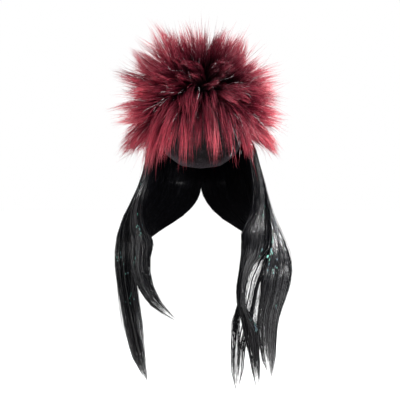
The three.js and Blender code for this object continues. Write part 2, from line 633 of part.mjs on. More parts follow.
// A spike is a tapered prism along the curve from its root past its middle to its tip
function spikeSurface(spike) {
  const curve = new THREE.QuadraticBezierCurve3(spike.root, spike.middle, spike.tip);
  const start = curve.getTangent(0);
  const side = new THREE.Vector3(-start.y, start.x, 0).normalize();
  const rings = [[spike.root]];
  spikeProfile.forEach((row) => {
    const centre = curve.getPoint(row.along);
    const along = curve.getTangent(row.along);
    const u = side.clone().addScaledVector(along, -side.dot(along)).normalize();
    const v = new THREE.Vector3().crossVectors(along, u);
    rings.push(Array.from({ length: spikeSides }, (unused, k) => {
      const angle = (2 * Math.PI * k) / spikeSides;
      return centre.clone()
        .addScaledVector(u, spike.radius * row.radius * Math.cos(angle))
        .addScaledVector(v, spike.radius * row.radius * Math.sin(angle));
    }));
  });
  rings.push([spike.tip]);
  return closedSurface(rings);
}

// One piece of the short hair: base and spikes, cut to the piece's own space and off the cap
function shortHair(spikes, cutToSpace) {
  let hair = solidOf(baseSurface());
  spikes.forEach((spike) => {
    hair = hair.add(solidOf(spikeSurface(spike)));
  });
  return mainBody(surfaceOf(cutToSpace(hair).subtract(solidOf(headForm(hairStandoff)))));
}

// Point of the long hair's inner face on one side, and the way out of it
function drapePoint(side, bearing, down, inward) {
  const drop = lockTop + down * (longDrop - lockTop);
  const b = THREE.MathUtils.degToRad(bearing);
  const width = bunchSpread * lookUp(drapeRows, "down", down, side < 0 ? "left" : "right");
  const front = chestDepth * lookUp(drapeRows, "down", down, "front");
  const back = napeDepth * lookUp(drapeRows, "down", down, "back");
  const halfWidth = Math.max(width, headHalf(drop, headWidth / 2)) - inward;
  const halfDepth = Math.max(bearing < 90 ? front : back, headHalf(drop, headDepth / 2)) - inward;
  return {
    point: new THREE.Vector3(side * halfWidth * Math.sin(b), -halfDepth * Math.cos(b), -drop),
    out: new THREE.Vector3((side * Math.sin(b)) / halfWidth, -Math.cos(b) / halfDepth, 0).normalize(),
  };
}

// Section of a lock: its outer face from the front edge to the back edge, its inner face back again
function lockSection(lock, row) {
  const outer = [];
  const inner = [];
  for (let i = 0; i <= lock.steps; i += 1) {
    const u = i / lock.steps;
    const bearing = row.frontAt + u * (row.backAt - row.frontAt);
    const down = row.frontDown + u * (row.backDown - row.frontDown);
    const { point, out } = drapePoint(lock.side, bearing, down, row.layer * backLayer);
    const bulge = lockEdge + (1 - lockEdge) * (1 - Math.abs(2 * u - 1) ** lockBulge);
    const ridge = 1 + lockRidge * (i % 2 ? 1 : -1);
    inner.unshift(point);
    outer.push(point.clone().addScaledVector(out, lockThickness * row.thick * bulge * ridge));
  }
  return [...outer, ...inner];
}

// Lock through its sections. The root end is closed by a strip between its outer and inner face.
function lockSurface(lock) {
  const sections = lock.rows.map((row) => lockSection(lock, row));
  const last = lock.rows[lock.rows.length - 1];
  const tip = drapePoint(lock.side, lock.tip.at, lock.tip.down, last.layer * backLayer).point;
  const count = sections[0].length;
  const points = [...sections.flat(), tip];
  const faces = [];
  for (let j = 0; j < count; j += 1) {
    const k = (j + 1) % count;
    for (let i = 1; i < sections.length; i += 1) {
      const upper = (i - 1) * count;
      const lower = i * count;
      faces.push([upper + j, lower + j, upper + k], [upper + k, lower + j, lower + k]);
    }
    faces.push([(sections.length - 1) * count + j, points.length - 1, (sections.length - 1) * count + k]);
  }
  for (let j = 0; j < lock.steps; j += 1) {
    const opposite = count - 1 - j;
    faces.push([j, j + 1, opposite], [j + 1, opposite - 1, opposite]);
  }
  return outward({ points, faces });
}

function meshOf(name, { points, faces }, material) {
  const geometry = new THREE.BufferGeometry().setFromPoints(points);
  geometry.setIndex(faces.flat());
  const flat = geometry.toNonIndexed();
  flat.computeVertexNormals();
  const mesh = new THREE.Mesh(flat, material);
  mesh.name = name;
  return mesh;
}

const netBlack = new THREE.MeshStandardMaterial({ color: 0x141214, roughness: 0.85, metalness: 0 });
const wineRed = new THREE.MeshStandardMaterial({ color: 0x8e2036, roughness: 0.5, metalness: 0 });
const softBlack = new THREE.MeshStandardMaterial({ color: 0x16181b, roughness: 0.38, metalness: 0 });

const spikes = layOutSpikes();
const nextToCrown = solidOf(crownSpace(seamWiden));
const wrapped = (bearing) => ((bearing % 360) + 360) % 360;
const crownSpikes = spikes.filter((spike) => spike.polar < crownPolar);
const lowerSpikes = spikes.filter((spike) => spike.polar >= crownPolar);
const quarters = [
  { name: "fringe", from: -seamBearing, to: seamBearing },
  { name: "right_spikes", from: seamBearing, to: 180 - seamBearing },
  { name: "back_spikes", from: 180 - seamBearing, to: 180 + seamBearing },
  { name: "left_spikes", from: 180 + seamBearing, to: 360 - seamBearing },
];

const wig = new THREE.Group();
wig.name = "long_straight_wig";
wig.add(meshOf("cap", capSurface(), netBlack));
const crown = shortHair(crownSpikes, (hair) => hair.intersect(solidOf(crownSpace(0))));
wig.add(meshOf("crown_spikes", crown, wineRed));
quarters.forEach(({ name, from, to }) => {
  const middle = (from + to) / 2;
  const own = lowerSpikes.filter((spike) => {
    const away = wrapped(spike.bearing - middle + 180) - 180;
    return Math.abs(away) < (to - from) / 2;
  });
  const wedge = solidOf(wedgeSpace(from, to));
  const hair = shortHair(own, (all) => all.intersect(wedge).subtract(nextToCrown));
  wig.add(meshOf(name, hair, wineRed));
});
locks.forEach((lock) => {
  wig.add(meshOf(lock.name, lockSurface(lock), softBlack));
});

export default wig;
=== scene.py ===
import bpy
import numpy as np
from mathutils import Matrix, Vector


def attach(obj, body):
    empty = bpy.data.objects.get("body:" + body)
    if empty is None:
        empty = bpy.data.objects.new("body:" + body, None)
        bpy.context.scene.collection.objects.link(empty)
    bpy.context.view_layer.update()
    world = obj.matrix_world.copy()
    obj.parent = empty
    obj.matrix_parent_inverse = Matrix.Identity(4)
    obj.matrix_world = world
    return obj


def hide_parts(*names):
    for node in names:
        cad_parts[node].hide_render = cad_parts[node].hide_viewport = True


# Wig on its own, in its worn form: red spiky top, long black hair led forward on both sides.
# Metres, +Z up, front opening towards -Y. Origin: inside top of the cap.
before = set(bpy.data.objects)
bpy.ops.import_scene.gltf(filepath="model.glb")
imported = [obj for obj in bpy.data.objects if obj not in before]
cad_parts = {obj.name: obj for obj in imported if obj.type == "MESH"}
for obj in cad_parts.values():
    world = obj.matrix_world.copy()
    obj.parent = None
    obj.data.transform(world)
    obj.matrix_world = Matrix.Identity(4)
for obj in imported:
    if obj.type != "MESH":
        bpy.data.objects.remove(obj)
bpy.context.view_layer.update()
dice = np.random.default_rng(1776)
print("frame loaded")


# helpers on tables and curves

def tableRows(names, *rows):
    # each row's numbers under the table's names
    return [dict(zip(names, row)) for row in rows]


def column(table, name):
    # one name's numbers from all rows
    return np.array([row[name] for row in table], float)


def readTable(table, key, at, value):
    # straight lines between the table's rows
    return np.interp(at, column(table, key), column(table, value))


def smoothTable(xs, ys, at):
    # cubic between two points, its slope at each the mean slope of the two spans that meet there
    slopes = np.gradient(ys, xs)
    i = np.clip(np.searchsorted(xs, at, side="right") - 1, 0, len(xs) - 2)
    width = xs[i + 1] - xs[i]
    t = np.clip((at - xs[i]) / width, 0, 1)
    rise = ys[i + 1] - ys[i]
    bend = t * (1 - t) * ((slopes[i] * width - rise) * (1 - t) - (slopes[i + 1] * width - rise) * t)
    return ys[i] + t * rise + bend


def easeIn(start, end, at):
    # 0 before start, 1 after end, a smooth step between
    t = np.clip((at - start) / (end - start), 0, 1)
    return t * t * (3 - 2 * t)


def scatter(index, step):
    # the same spread from -1 to 1 each run: fractions of multiples of step
    return 2 * np.mod((index + 1) * step, 1) - 1


def unit(vectors):
    # each vector over its length; one without length stays as it is
    return vectors / np.maximum(np.linalg.norm(vectors, axis=-1, keepdims=True), 1e-12)


def halfTurned(bearing):
    # the same bearing, from -180 to 180
    return np.mod(bearing + 180, 360) - 180


def nearest(points, centres):
    # number of the closest centre, by squared distance
    gaps = (points ** 2).sum(1)[:, None] - 2 * points @ centres.T + (centres ** 2).sum(1)[None, :]
    return gaps.argmin(axis=1)


# form of the cap and its edge

# inside of the cap: crown and lower are its heights above and below the widest level
capForm = {"width": 0.154, "depth": 0.194, "crown": 0.105, "lower": 0.150}
# the cap's lower edge: its drop below the top by the bearing from the front, either way round
capRim = tableRows(
    ("bearing", "drop"),
    (0, 0.062), (30, 0.062), (50, 0.078), (62, 0.1033), (70, 0.123), (80, 0.123), (90, 0.107),
    (100, 0.1124), (120, 0.1386), (150, 0.1601), (180, 0.165))
# base of the red hair: crownPolar and seam part its pieces, which stay clear of both by gap degrees
hairBase = {"standoff": 0.003, "wall": 0.003, "drop": 0.098, "rim": 0.003, "crownPolar": 44, "seam": 52,
            "gap": 0.2, "around": 72, "down": 9, "frontSteps": 24, "sideSteps": 18, "tone": 0.3}


def capPoints(bearing, polar, standoff):
    # ellipsoid grown by standoff: sines and cosines of both angles times half the width, half the
    # depth, and crown above the widest level or lower below it
    b, p = np.radians(bearing), np.radians(polar)
    tall = np.where(np.cos(p) < 0, capForm["lower"], capForm["crown"]) + standoff
    x = (capForm["width"] / 2 + standoff) * np.sin(p) * np.sin(b)
    y = -(capForm["depth"] / 2 + standoff) * np.sin(p) * np.cos(b)
    z = tall * np.cos(p) - capForm["crown"]
    return np.stack(np.broadcast_arrays(x, y, z), axis=-1)


def capNormals(bearing, polar, standoff):
    # gradient of the ellipsoid: each coordinate over its half size squared
    at = capPoints(bearing, polar, standoff)
    tall = np.where(np.asarray(polar) > 90, capForm["lower"], capForm["crown"]) + standoff
    x = at[..., 0] / (capForm["width"] / 2 + standoff) ** 2
    y = at[..., 1] / (capForm["depth"] / 2 + standoff) ** 2
    z = (at[..., 2] + capForm["crown"]) / tall ** 2
    return unit(np.stack([x, y, z], axis=-1))


def polarAtDrop(drop):
    # the angle from the top whose cosine is the height over the half size, at a drop below the top
    above = capForm["crown"] - np.asarray(drop, float)
    return np.degrees(np.arccos(above / np.where(above < 0, capForm["lower"], capForm["crown"])))


def capHalf(drop, half):
    # half of a level section of the hair base's inside: half size times the circle's root
    below = drop - capForm["crown"]
    tall = np.where(below > 0, capForm["lower"], capForm["crown"]) + hairBase["standoff"]
    return (half + hairBase["standoff"]) * np.sqrt(np.maximum(0, 1 - (below / tall) ** 2))


def rimDrop(bearing):
    # lower edge of the cap, the same on both sides
    turned = np.mod(bearing, 360)
    return readTable(capRim, "bearing", np.minimum(turned, 360 - turned), "drop")


# meshes from whole arrays

def joinParts(parts):
    # lays parts one after another, each part's corner numbers moved on by the points before it
    starts = np.cumsum([0] + [len(part["points"]) for part in parts[:-1]])
    joined = {name: np.concatenate([part[name] for part in parts]) for name in ("points", "along", "tone")}
    for name in ("quads", "triangles"):
        joined[name] = np.concatenate([part[name] + start for part, start in zip(parts, starts)])
    for name in ("quadPlaces", "trianglePlaces"):
        joined[name] = np.concatenate([part[name] for part in parts])
    return joined


def makeMesh(name, part, material):
    # smooth mesh from a part's arrays, with along and tone on its points and its places on the map
    mesh = bpy.data.meshes.new(name)
    corners = np.concatenate([part["quads"].ravel(), part["triangles"].ravel()]).astype(np.int32)
    sizes = np.concatenate([np.full(len(part["quads"]), 4), np.full(len(part["triangles"]), 3)])
    mesh.vertices.add(len(part["points"]))
    mesh.vertices.foreach_set("co", part["points"].astype(np.float32).ravel())
    mesh.loops.add(len(corners))
    mesh.loops.foreach_set("vertex_index", corners)
    mesh.polygons.add(len(sizes))
    mesh.polygons.foreach_set("loop_start", (np.cumsum(sizes) - sizes).astype(np.int32))
    mesh.polygons.foreach_set("use_smooth", np.full(len(sizes), True))
    for attribute in ("along", "tone"):
        layer = mesh.attributes.new(attribute, "FLOAT", "POINT")
        layer.data.foreach_set("value", part[attribute].astype(np.float32))
    places = np.concatenate([part["quadPlaces"].reshape(-1, 2), part["trianglePlaces"].reshape(-1, 2)])
    mesh.uv_layers.new(name="OFBake").data.foreach_set("uv", places.astype(np.float32).ravel())
    mesh.update(calc_edges=True)
    mesh.materials.append(material)
    piece = bpy.data.objects.new(name, mesh)
    bpy.context.scene.collection.objects.link(piece)
    return piece


# places on the map that the finishes are baked to: up it along the hair, across it by tone
bakeMap = {"start": 0.02, "length": 0.96, "bodyAcross": (0.02, 0.08), "bodyEnd": 0.012,
           "capAcross": (0.01, 0.99), "capEnd": 0.008,
           "strandStart": 0.1, "strandSpan": 0.85, "strandSide": 0.012, "strandEnd": 0.004}


def upMap(along):
    # the way along the hair as a place up the map
    return bakeMap["start"] + bakeMap["length"] * along


def gridPart(points, along, tone, poles=None, mapAcross=bakeMap["bodyAcross"], ends=bakeMap["bodyEnd"]):
    # rows of points, each a closed ring, joined row to row. Both ends are closed by a pole, or by a
    # strip between the ring's first and second half. A surface that came out turned in is turned out
    rows, columns = points.shape[:2]
    place = np.arange(rows * columns).reshape(rows, columns)
    right = np.roll(place, -1, axis=1)
    quads = np.stack([place[:-1], place[1:], right[1:], right[:-1]], axis=-1).reshape(-1, 4)
    low, wide = mapAcross[0], (mapAcross[1] - mapAcross[0]) / columns
    down = upMap(along)
    j = np.arange(columns)
    corners = [(0, 0), (1, 0), (1, 1), (0, 1)]  # steps down and across of a quad's four corners
    quadPlaces = np.stack([
        np.stack(np.broadcast_arrays(low + wide * (j + step)[None, :], down[lower:rows - 1 + lower, None]),
                 axis=-1) for lower, step in corners], axis=2).reshape(-1, 4, 2)
    flat = points.reshape(-1, 3)
    alongs = np.repeat(along, columns)
    triangles, trianglePlaces = np.zeros((0, 3), int), np.zeros((0, 3, 2))
    if poles is not None:
        flat = np.concatenate([flat, poles])
        alongs = np.concatenate([alongs, alongs[[0]], alongs[[-1]]])
        first = np.stack([np.full(columns, rows * columns), place[0], right[0]], axis=-1)
        final = np.stack([place[-1], np.full(columns, rows * columns + 1), right[-1]], axis=-1)
        triangles = np.concatenate([first, final])
        x = low + wide * np.stack([j + 0.5, j, j + 1], axis=-1)
        y = np.array([down[0] - ends, down[0], down[0]]) + 0 * x
        lastX = low + wide * np.stack([j, j + 0.5, j + 1], axis=-1)
        lastY = np.array([down[-1], down[-1] + ends, down[-1]]) + 0 * x
        trianglePlaces = np.stack([np.concatenate([x, lastX]), np.concatenate([y, lastY])], axis=-1)
    else:
        a = np.arange(columns // 2 - 1)
        strip = np.stack([a, a + 1, columns - 2 - a, columns - 1 - a], axis=-1)
        quads = np.concatenate([quads, strip, strip[:, ::-1] + (rows - 1) * columns])
        x = low + wide * np.stack([a, a + 1, a + 1, a], axis=-1)
        y = np.array([down[0], down[0], down[0] - ends, down[0] - ends]) + 0 * x
        lastY = np.array([down[-1] + ends, down[-1] + ends, down[-1], down[-1]]) + 0 * x
        quadPlaces = np.concatenate([
            quadPlaces, np.stack([x, y], axis=-1), np.stack([x[:, ::-1], lastY], axis=-1)])
    both = np.concatenate([quads[:, [0, 1, 2]], quads[:, [0, 2, 3]], triangles])
    if np.einsum("ij,ij->", flat[both[:, 0]], np.cross(flat[both[:, 1]], flat[both[:, 2]])) < 0:
        quads, triangles = quads[:, ::-1], triangles[:, ::-1]
        quadPlaces, trianglePlaces = quadPlaces[:, ::-1], trianglePlaces[:, ::-1]
    return {
        "points": flat, "quads": quads, "triangles": triangles,
        "along": alongs, "tone": np.full(len(flat), float(tone)),
        "quadPlaces": quadPlaces, "trianglePlaces": trianglePlaces,
    }


tube = {"sides": 3, "turns": 7}  # sides of a strand, and how often it turns over the range of tone


def strandPart(paths, radii, along, tone, facing):
    # each strand is a three-sided tube: at every station but the last, three points at one radius
    # square to the path; the last station is the tip
    strands, stations = paths.shape[:2]
    sides = tube["sides"]
    ahead = unit(np.gradient(paths, axis=1))
    across = unit(np.cross(ahead, facing[:, None, :]))
    upward = np.cross(across, ahead)
    turns = 2 * np.pi * (np.arange(sides)[None, :] / sides + tone[:, None] * tube["turns"])
    ring = (across[:, :-1, None, :] * np.cos(turns)[:, None, :, None]
            + upward[:, :-1, None, :] * np.sin(turns)[:, None, :, None])
    rings = paths[:, :-1, None, :] - ring * radii[:, :-1, None, None]
    each = (stations - 1) * sides + 1
    points = np.concatenate([rings.reshape(strands, -1, 3), paths[:, -1:, :]], axis=1)
    alongs = np.concatenate([np.repeat(along[:, :-1], sides, axis=1), along[:, -1:]], axis=1)
    i, k = np.meshgrid(np.arange(stations - 2), np.arange(sides), indexing="ij")
    near, besides = i * sides + k, i * sides + (k + 1) % sides
    quad = np.stack([near, near + sides, besides + sides, besides], axis=-1).reshape(-1, 4)
    k = np.arange(sides)
    base = (stations - 2) * sides
    point = np.stack([base + k, np.full(sides, each - 1), base + (k + 1) % sides], axis=-1)
    triangle = np.concatenate([point, [[0, 1, 2]]])
    starts = (np.arange(strands) * each)[:, None, None]
    u = (bakeMap["strandStart"] + bakeMap["strandSpan"] * np.clip(tone, 0, 1))[:, None, None]
    v = upMap(alongs)
    step = bakeMap["strandSide"] * (np.array([0, 0, 1, 1]) + (np.arange(len(quad)) % sides)[:, None])
    tipStep = bakeMap["strandSide"] * np.concatenate([k[:, None] + [0, 0.5, 1], [[0, 1, 0.5]]])
    dip = np.zeros((sides + 1, 3))
    dip[-1] = [0, 0, -bakeMap["strandEnd"]]
    quadPlaces = np.stack(np.broadcast_arrays(u + step, v[:, quad]), axis=-1)
    tipPlaces = np.stack(np.broadcast_arrays(u + tipStep, v[:, triangle] + dip), axis=-1)
    return {
        "points": points.reshape(-1, 3),
        "quads": (quad[None] + starts).reshape(-1, 4),
        "triangles": (triangle[None] + starts).reshape(-1, 3),
        "along": alongs.ravel(),
        "tone": np.repeat(tone, each),
        "quadPlaces": quadPlaces.reshape(-1, 4, 2),
        "trianglePlaces": tipPlaces.reshape(-1, 3, 2),
    }


# finishes

def newMaterial(name):
    # a material with its nodes, links and shader
    material = bpy.data.materials.new(name)
    material.use_nodes = True
    nodes, links = material.node_tree.nodes, material.node_tree.links
    return material, nodes, links, nodes["Principled BSDF"]


def attributeNode(nodes, name):
    # a point attribute of the mesh as one number
    node = nodes.new("ShaderNodeAttribute")
    node.attribute_name = name
    return node.outputs["Fac"]


def rampNode(nodes, links, fac, stops):
    # colour by a number, in straight lines between the stops
    ramp = nodes.new("ShaderNodeValToRGB")
    while len(ramp.color_ramp.elements) < len(stops):
        ramp.color_ramp.elements.new(1)
    for element, (position, colour) in zip(ramp.color_ramp.elements, stops):
        element.position = position
        element.color = (*colour, 1)
    links.new(fac, ramp.inputs["Fac"])
    return ramp.outputs["Color"]


def noiseNode(nodes, links, scale, detail):
    # noise over the object's own coordinates
    place = nodes.new("ShaderNodeTexCoord")
    noise = nodes.new("ShaderNodeTexNoise")
    noise.inputs["Scale"].default_value = scale
    noise.inputs["Detail"].default_value = detail
    links.new(place.outputs["Object"], noise.inputs["Vector"])
    return noise.outputs["Fac"]


def multiplied(nodes, links, a, b):
    # one colour times the other
    mix = nodes.new("ShaderNodeMix")
    mix.data_type = "RGBA"
    mix.blend_type = "MULTIPLY"
    mix.inputs["Factor"].default_value = 1
    links.new(a, mix.inputs["A"])
    links.new(b, mix.inputs["B"])
    return mix.outputs["Result"]


fibres = {
    "red": {
        "stops": [(0.0, (0.006, 0.002, 0.003)), (0.18, (0.018, 0.002, 0.005)), (0.38, (0.170, 0.011, 0.028)),
                  (0.66, (0.430, 0.042, 0.070)), (1.0, (0.560, 0.100, 0.132))],
        "tones": [(0.0, (0.24, 0.18, 0.24)), (0.5, (0.85, 0.85, 0.85)), (1.0, (1.65, 1.55, 1.4))],
        "roughness": 0.36, "shine": [(0.3, 0.1), (0.7, 0.3), (1.0, 0.7)],
        "streakScale": 260, "streaks": [(0.3, (0.6, 0.6, 0.6)), (0.7, (1, 1, 1))],
    },
    "black": {
        "stops": [(0.0, (0.003, 0.003, 0.004)), (0.6, (0.005, 0.005, 0.006)), (1.0, (0.009, 0.008, 0.009))],
        "tones": [(0.0, (0.5, 0.5, 0.55)), (0.5, (1, 1, 1)), (1.0, (2.6, 2.6, 2.7))],
        "roughness": 0.22, "shine": [(0.2, 0.015), (0.3, 0.06), (0.55, 0.4), (0.8, 1.0)],
        "streakScale": 420, "streaks": [(0.3, (0.4, 0.4, 0.4)), (0.7, (1, 1, 1))],
    },
}


def fibreMaterial(name, look):
    # root to tip colours from `along`, times a tint from `tone`, which is steady along one strand,
    # times fine light and dark streaks. `tone` also says how much a strand shines
    material, nodes, links, shader = newMaterial(name)
    lengthColour = rampNode(nodes, links, attributeNode(nodes, "along"), look["stops"])
    tint = rampNode(nodes, links, attributeNode(nodes, "tone"), look["tones"])
    streaks = rampNode(nodes, links, noiseNode(nodes, links, look["streakScale"], 2), look["streaks"])
    colour = multiplied(nodes, links, multiplied(nodes, links, lengthColour, tint), streaks)
    links.new(colour, shader.inputs["Base Color"])
    shader.inputs["Roughness"].default_value = look["roughness"]
    greys = [(at, (x, x, x)) for at, x in look["shine"]]
    shine = rampNode(nodes, links, attributeNode(nodes, "tone"), greys)
    links.new(shine, shader.inputs["Specular IOR Level"])
    return material


films = {
    "silver": {
        "stops": [(0.3, (0.85, 0.82, 0.84)), (0.7, (1.0, 1.0, 1.0))],
        "scale": 60, "metal": 0.2, "roughness": 0.24,
    },
    "teal": {
        "stops": [(0.3, (0.06, 0.12, 0.12)), (0.42, (0.12, 0.55, 0.42)), (0.52, (0.40, 0.85, 0.70)),
                  (0.62, (0.16, 0.30, 0.42)), (0.75, (0.60, 0.68, 0.72))],
        "scale": 90, "metal": 0.5, "roughness": 0.24,
    },
}


def tinselMaterial(name, look):
    # metal film whose colour drifts from place to place
    material, nodes, links, shader = newMaterial(name)
    colour = rampNode(nodes, links, noiseNode(nodes, links, look["scale"], 2), look["stops"])
    links.new(colour, shader.inputs["Base Color"])
    shader.inputs["Metallic"].default_value = look["metal"]
    shader.inputs["Roughness"].default_value = look["roughness"]
    return material


redFibre = fibreMaterial("red_fibre", fibres["red"])
blackFibre = fibreMaterial("black_fibre", fibres["black"])
silverTinsel = tinselMaterial("silver_tinsel", films["silver"])
tealTinsel = tinselMaterial("teal_tinsel", films["teal"])
print("finishes made")


def finishPiece(piece, slot, *nodes):
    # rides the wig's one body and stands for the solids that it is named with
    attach(piece, "root")
    if nodes:
        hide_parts(*nodes)
    print(piece.name, "made,", len(piece.data.polygons), "faces")


# cap: net shell, rows of weft inside and a bound edge

cap = {"wall": 0.002, "bearings": 120, "rows": 36, "weftPitch": 0.011, "weftRelief": 0.0006,
       "binding": 0.007, "bindingRelief": 0.0005}


def capPart():
    # outer rows from the top to the rim, inner rows back up; each row a share of the way to the rim.
    # Relief inside: ridges, a cosine of the way from the top cubed, and an even step at the bound edge
    bearings = np.linspace(0, 360, cap["bearings"], endpoint=False)
    share = np.linspace(0, 1, cap["rows"] + 1)[1:]
    rimPolar = polarAtDrop(rimDrop(bearings))
    polar = share[:, None] * rimPolar[None, :]
    way = np.radians(polar) * capForm["crown"]
    toRim = np.radians(rimPolar[None, :] - polar) * capForm["crown"]
    weft = cap["weftRelief"] * (0.5 + 0.5 * np.cos(2 * np.pi * way / cap["weftPitch"])) ** 3
    inside = np.where(toRim < cap["binding"], cap["bindingRelief"], weft)
    outer = capPoints(bearings[None, :], polar, np.full_like(polar, cap["wall"]))
    inner = capPoints(bearings[None, :], polar, -inside)[::-1]
    poles = capPoints(np.zeros(2), np.zeros(2), np.array([cap["wall"], 0]))
    along = np.linspace(0, 1, 2 * cap["rows"])
    part = gridPart(np.concatenate([outer, inner]), along, 0, poles, bakeMap["capAcross"], bakeMap["capEnd"])
    ridge = np.where(toRim < cap["binding"], 0.5, weft / cap["weftRelief"])
    part["tone"][outer.size // 3:-2] = ridge[::-1].ravel()  # the inner rows, without the two poles
    return part


# threads: colour by the distance from a thread; wefts: tint by tone, 0.5 on the bound edge
netFinish = {"scale": 420, "bump": 0.5, "depth": 0.0004, "roughness": 0.85, "shine": 0.2,
             "threads": [(0.0, (0.046, 0.040, 0.044)), (0.12, (0.018, 0.016, 0.018)),
                         (0.3, (0.005, 0.005, 0.005))],
             "wefts": [(0.15, (0.7, 0.7, 0.7)), (0.5, (1.6, 1.5, 1.6)), (0.9, (0.25, 0.25, 0.25))]}


def netMaterial():
    # fine mesh of thread: edges of small cells, raised by bump
    material, nodes, links, shader = newMaterial("net")
    place = nodes.new("ShaderNodeTexCoord")
    net = nodes.new("ShaderNodeTexVoronoi")
    net.feature = "DISTANCE_TO_EDGE"
    net.inputs["Scale"].default_value = netFinish["scale"]
    links.new(place.outputs["Object"], net.inputs["Vector"])
    threads = rampNode(nodes, links, net.outputs["Distance"], netFinish["threads"])
    wefts = rampNode(nodes, links, attributeNode(nodes, "tone"), netFinish["wefts"])
    links.new(multiplied(nodes, links, threads, wefts), shader.inputs["Base Color"])
    bump = nodes.new("ShaderNodeBump")
    bump.invert = True
    bump.inputs["Strength"].default_value = netFinish["bump"]
    bump.inputs["Distance"].default_value = netFinish["depth"]
    links.new(net.outputs["Distance"], bump.inputs["Height"])
    links.new(bump.outputs["Normal"], shader.inputs["Normal"])
    shader.inputs["Roughness"].default_value = netFinish["roughness"]
    shader.inputs["Specular IOR Level"].default_value = netFinish["shine"]
    return material


finishPiece(makeMesh("net_cap", capPart(), netMaterial()), "net", "cap")


# short red hair

# clockDrop: how far below the top the middle lies that clock angles are taken from
spikes = {"length": 0.118, "bend": 0.45, "clockDrop": 0.01995}
# how far each value of a spike strays, and the step of its scatter
stray = {"bearing": (0.28, 0.618), "polar": (3.5, 0.414), "rootLean": (6, 0.732), "tipLean": (8, 0.236),
         "sideways": (0.15, 0.854), "length": (0.08, 0.553)}
# rows of spikes round the cap. Leans are degrees from the way out towards the way down, the last two
# at the front; the last row is the fringe
spikeRows = tableRows(
    ("polar", "centre", "half", "count", "length", "radius",
     "rootLean", "tipLean", "frontRootLean", "frontTipLean"),
    (8, 0, 180, 4, 0.95, 1, -4, 2, -2, 8),
    (22, 0, 180, 9, 0.98, 1, -8, 2, 4, 22),
    (36, 0, 180, 13, 1, 1, -2, 14, 16, 54),
    (53, 0, 180, 18, 0.97, 1, -6, 12, 40, 92),
    (66, 180, 126, 15, 0.98, 1, 8, 34, 30, 62),
    (76.5, 180, 118, 17, 0.95, 0.7, 26, 66, 40, 84),
    (61, 0, 48, 9, 1.12, 0.48, 62, 98, 66, 100))
# reach of the hair by the clock angle of its tip seen from the front, 0 to the right and 90 up
clockReach = tableRows(
    ("clock", "reach"),
    (-90, 0.95), (-75, 0.95), (-55, 0.92), (-40, 0.86), (-22, 0.8), (-8, 0.78), (4, 0.86), (16, 0.92),
    (28, 0.78), (42, 0.88), (56, 0.92), (72, 0.82), (90, 0.88), (110, 0.87), (128, 0.95), (140, 0.88),
    (166, 1), (178, 0.85), (195, 0.86), (212, 0.92), (232, 0.98), (250, 0.85), (270, 0.95))


def curlPoints(bearing, polar, rootLean, tipLean, sideways, length):
    # root, bend and tip of a curve whose way out of the cap turns from rootLean to tipLean
    rooted = hairBase["standoff"] + hairBase["wall"] / 2
    root = capPoints(bearing, polar, rooted)
    out = capNormals(bearing, polar, rooted)
    down = unit(capPoints(bearing, polar + 1, rooted) - root)
    across = np.cross(out, down)

    def leaned(degrees):
        angle = np.radians(degrees)[..., None]
        return out * np.cos(angle) + down * np.sin(angle)

    first = leaned(rootLean)
    last = unit(leaned(tipLean) + across * sideways[..., None])

    def bendAndTip(reach):
        middle = root + first * (spikes["bend"] * reach)[..., None]
        return middle, middle + last * ((1 - spikes["bend"]) * reach)[..., None]

    aim = bendAndTip(length)[1]
    clock = np.degrees(np.arctan2(aim[:, 2] + spikes["clockDrop"], aim[:, 0]))
    clock = np.where(clock < -90, clock + 360, clock)
    middle, tip = bendAndTip(length * readTable(clockReach, "clock", clock, "reach"))
    return np.stack([root, middle, tip], axis=1)


def towardsFront(bearing):
    # 1 at the front and 0 from the sides back: the cosine of the bearing, squared
    return np.maximum(0, np.cos(np.radians(bearing))) ** 2


def strayed(name, index):
    # how far one of a spike's values strays
    amount, step = stray[name]
    return amount * scatter(index, step)


def mainSpikes():
    # the tufts that the solids show: each row spaced evenly, with the same repeatable stray
    curls, done = [], 0
    for number, row in enumerate(spikeRows):
        j = np.arange(row["count"])
        index = done + j
        done += row["count"]
        pitch = 2 * row["half"] / row["count"]
        stagger = 0.5 if row["half"] < 180 or number % 2 else 0
        bearing = row["centre"] - row["half"] + pitch * (j + stagger + strayed("bearing", index))
        polar = row["polar"] + row["radius"] * strayed("polar", index)
        front = towardsFront(bearing)
        rootLean = row["rootLean"] + front * (row["frontRootLean"] - row["rootLean"])
        tipLean = row["tipLean"] + front * (row["frontTipLean"] - row["tipLean"])
        curls.append(curlPoints(
            bearing, polar, rootLean + strayed("rootLean", index), tipLean + strayed("tipLean", index),
            strayed("sideways", index), row["length"] * spikes["length"] * (1 + strayed("length", index))))
    return np.concatenate(curls)


hairline = {"polar": (52, 60), "bearing": (46, 58)}  # degrees over which the fringe begins and ends


def hairlineShare(bearing, polar):
    # 1 at the front hairline, 0 away from it, a smooth step between
    aside = easeIn(*hairline["bearing"], np.abs(halfTurned(bearing)))
    return easeIn(*hairline["polar"], polar) * (1 - aside)


# spread of a curve's values at looseness 1
curlSpread = {"rootLean": 7, "tipLean": 10, "sideways": 0.16, "length": 0.08}


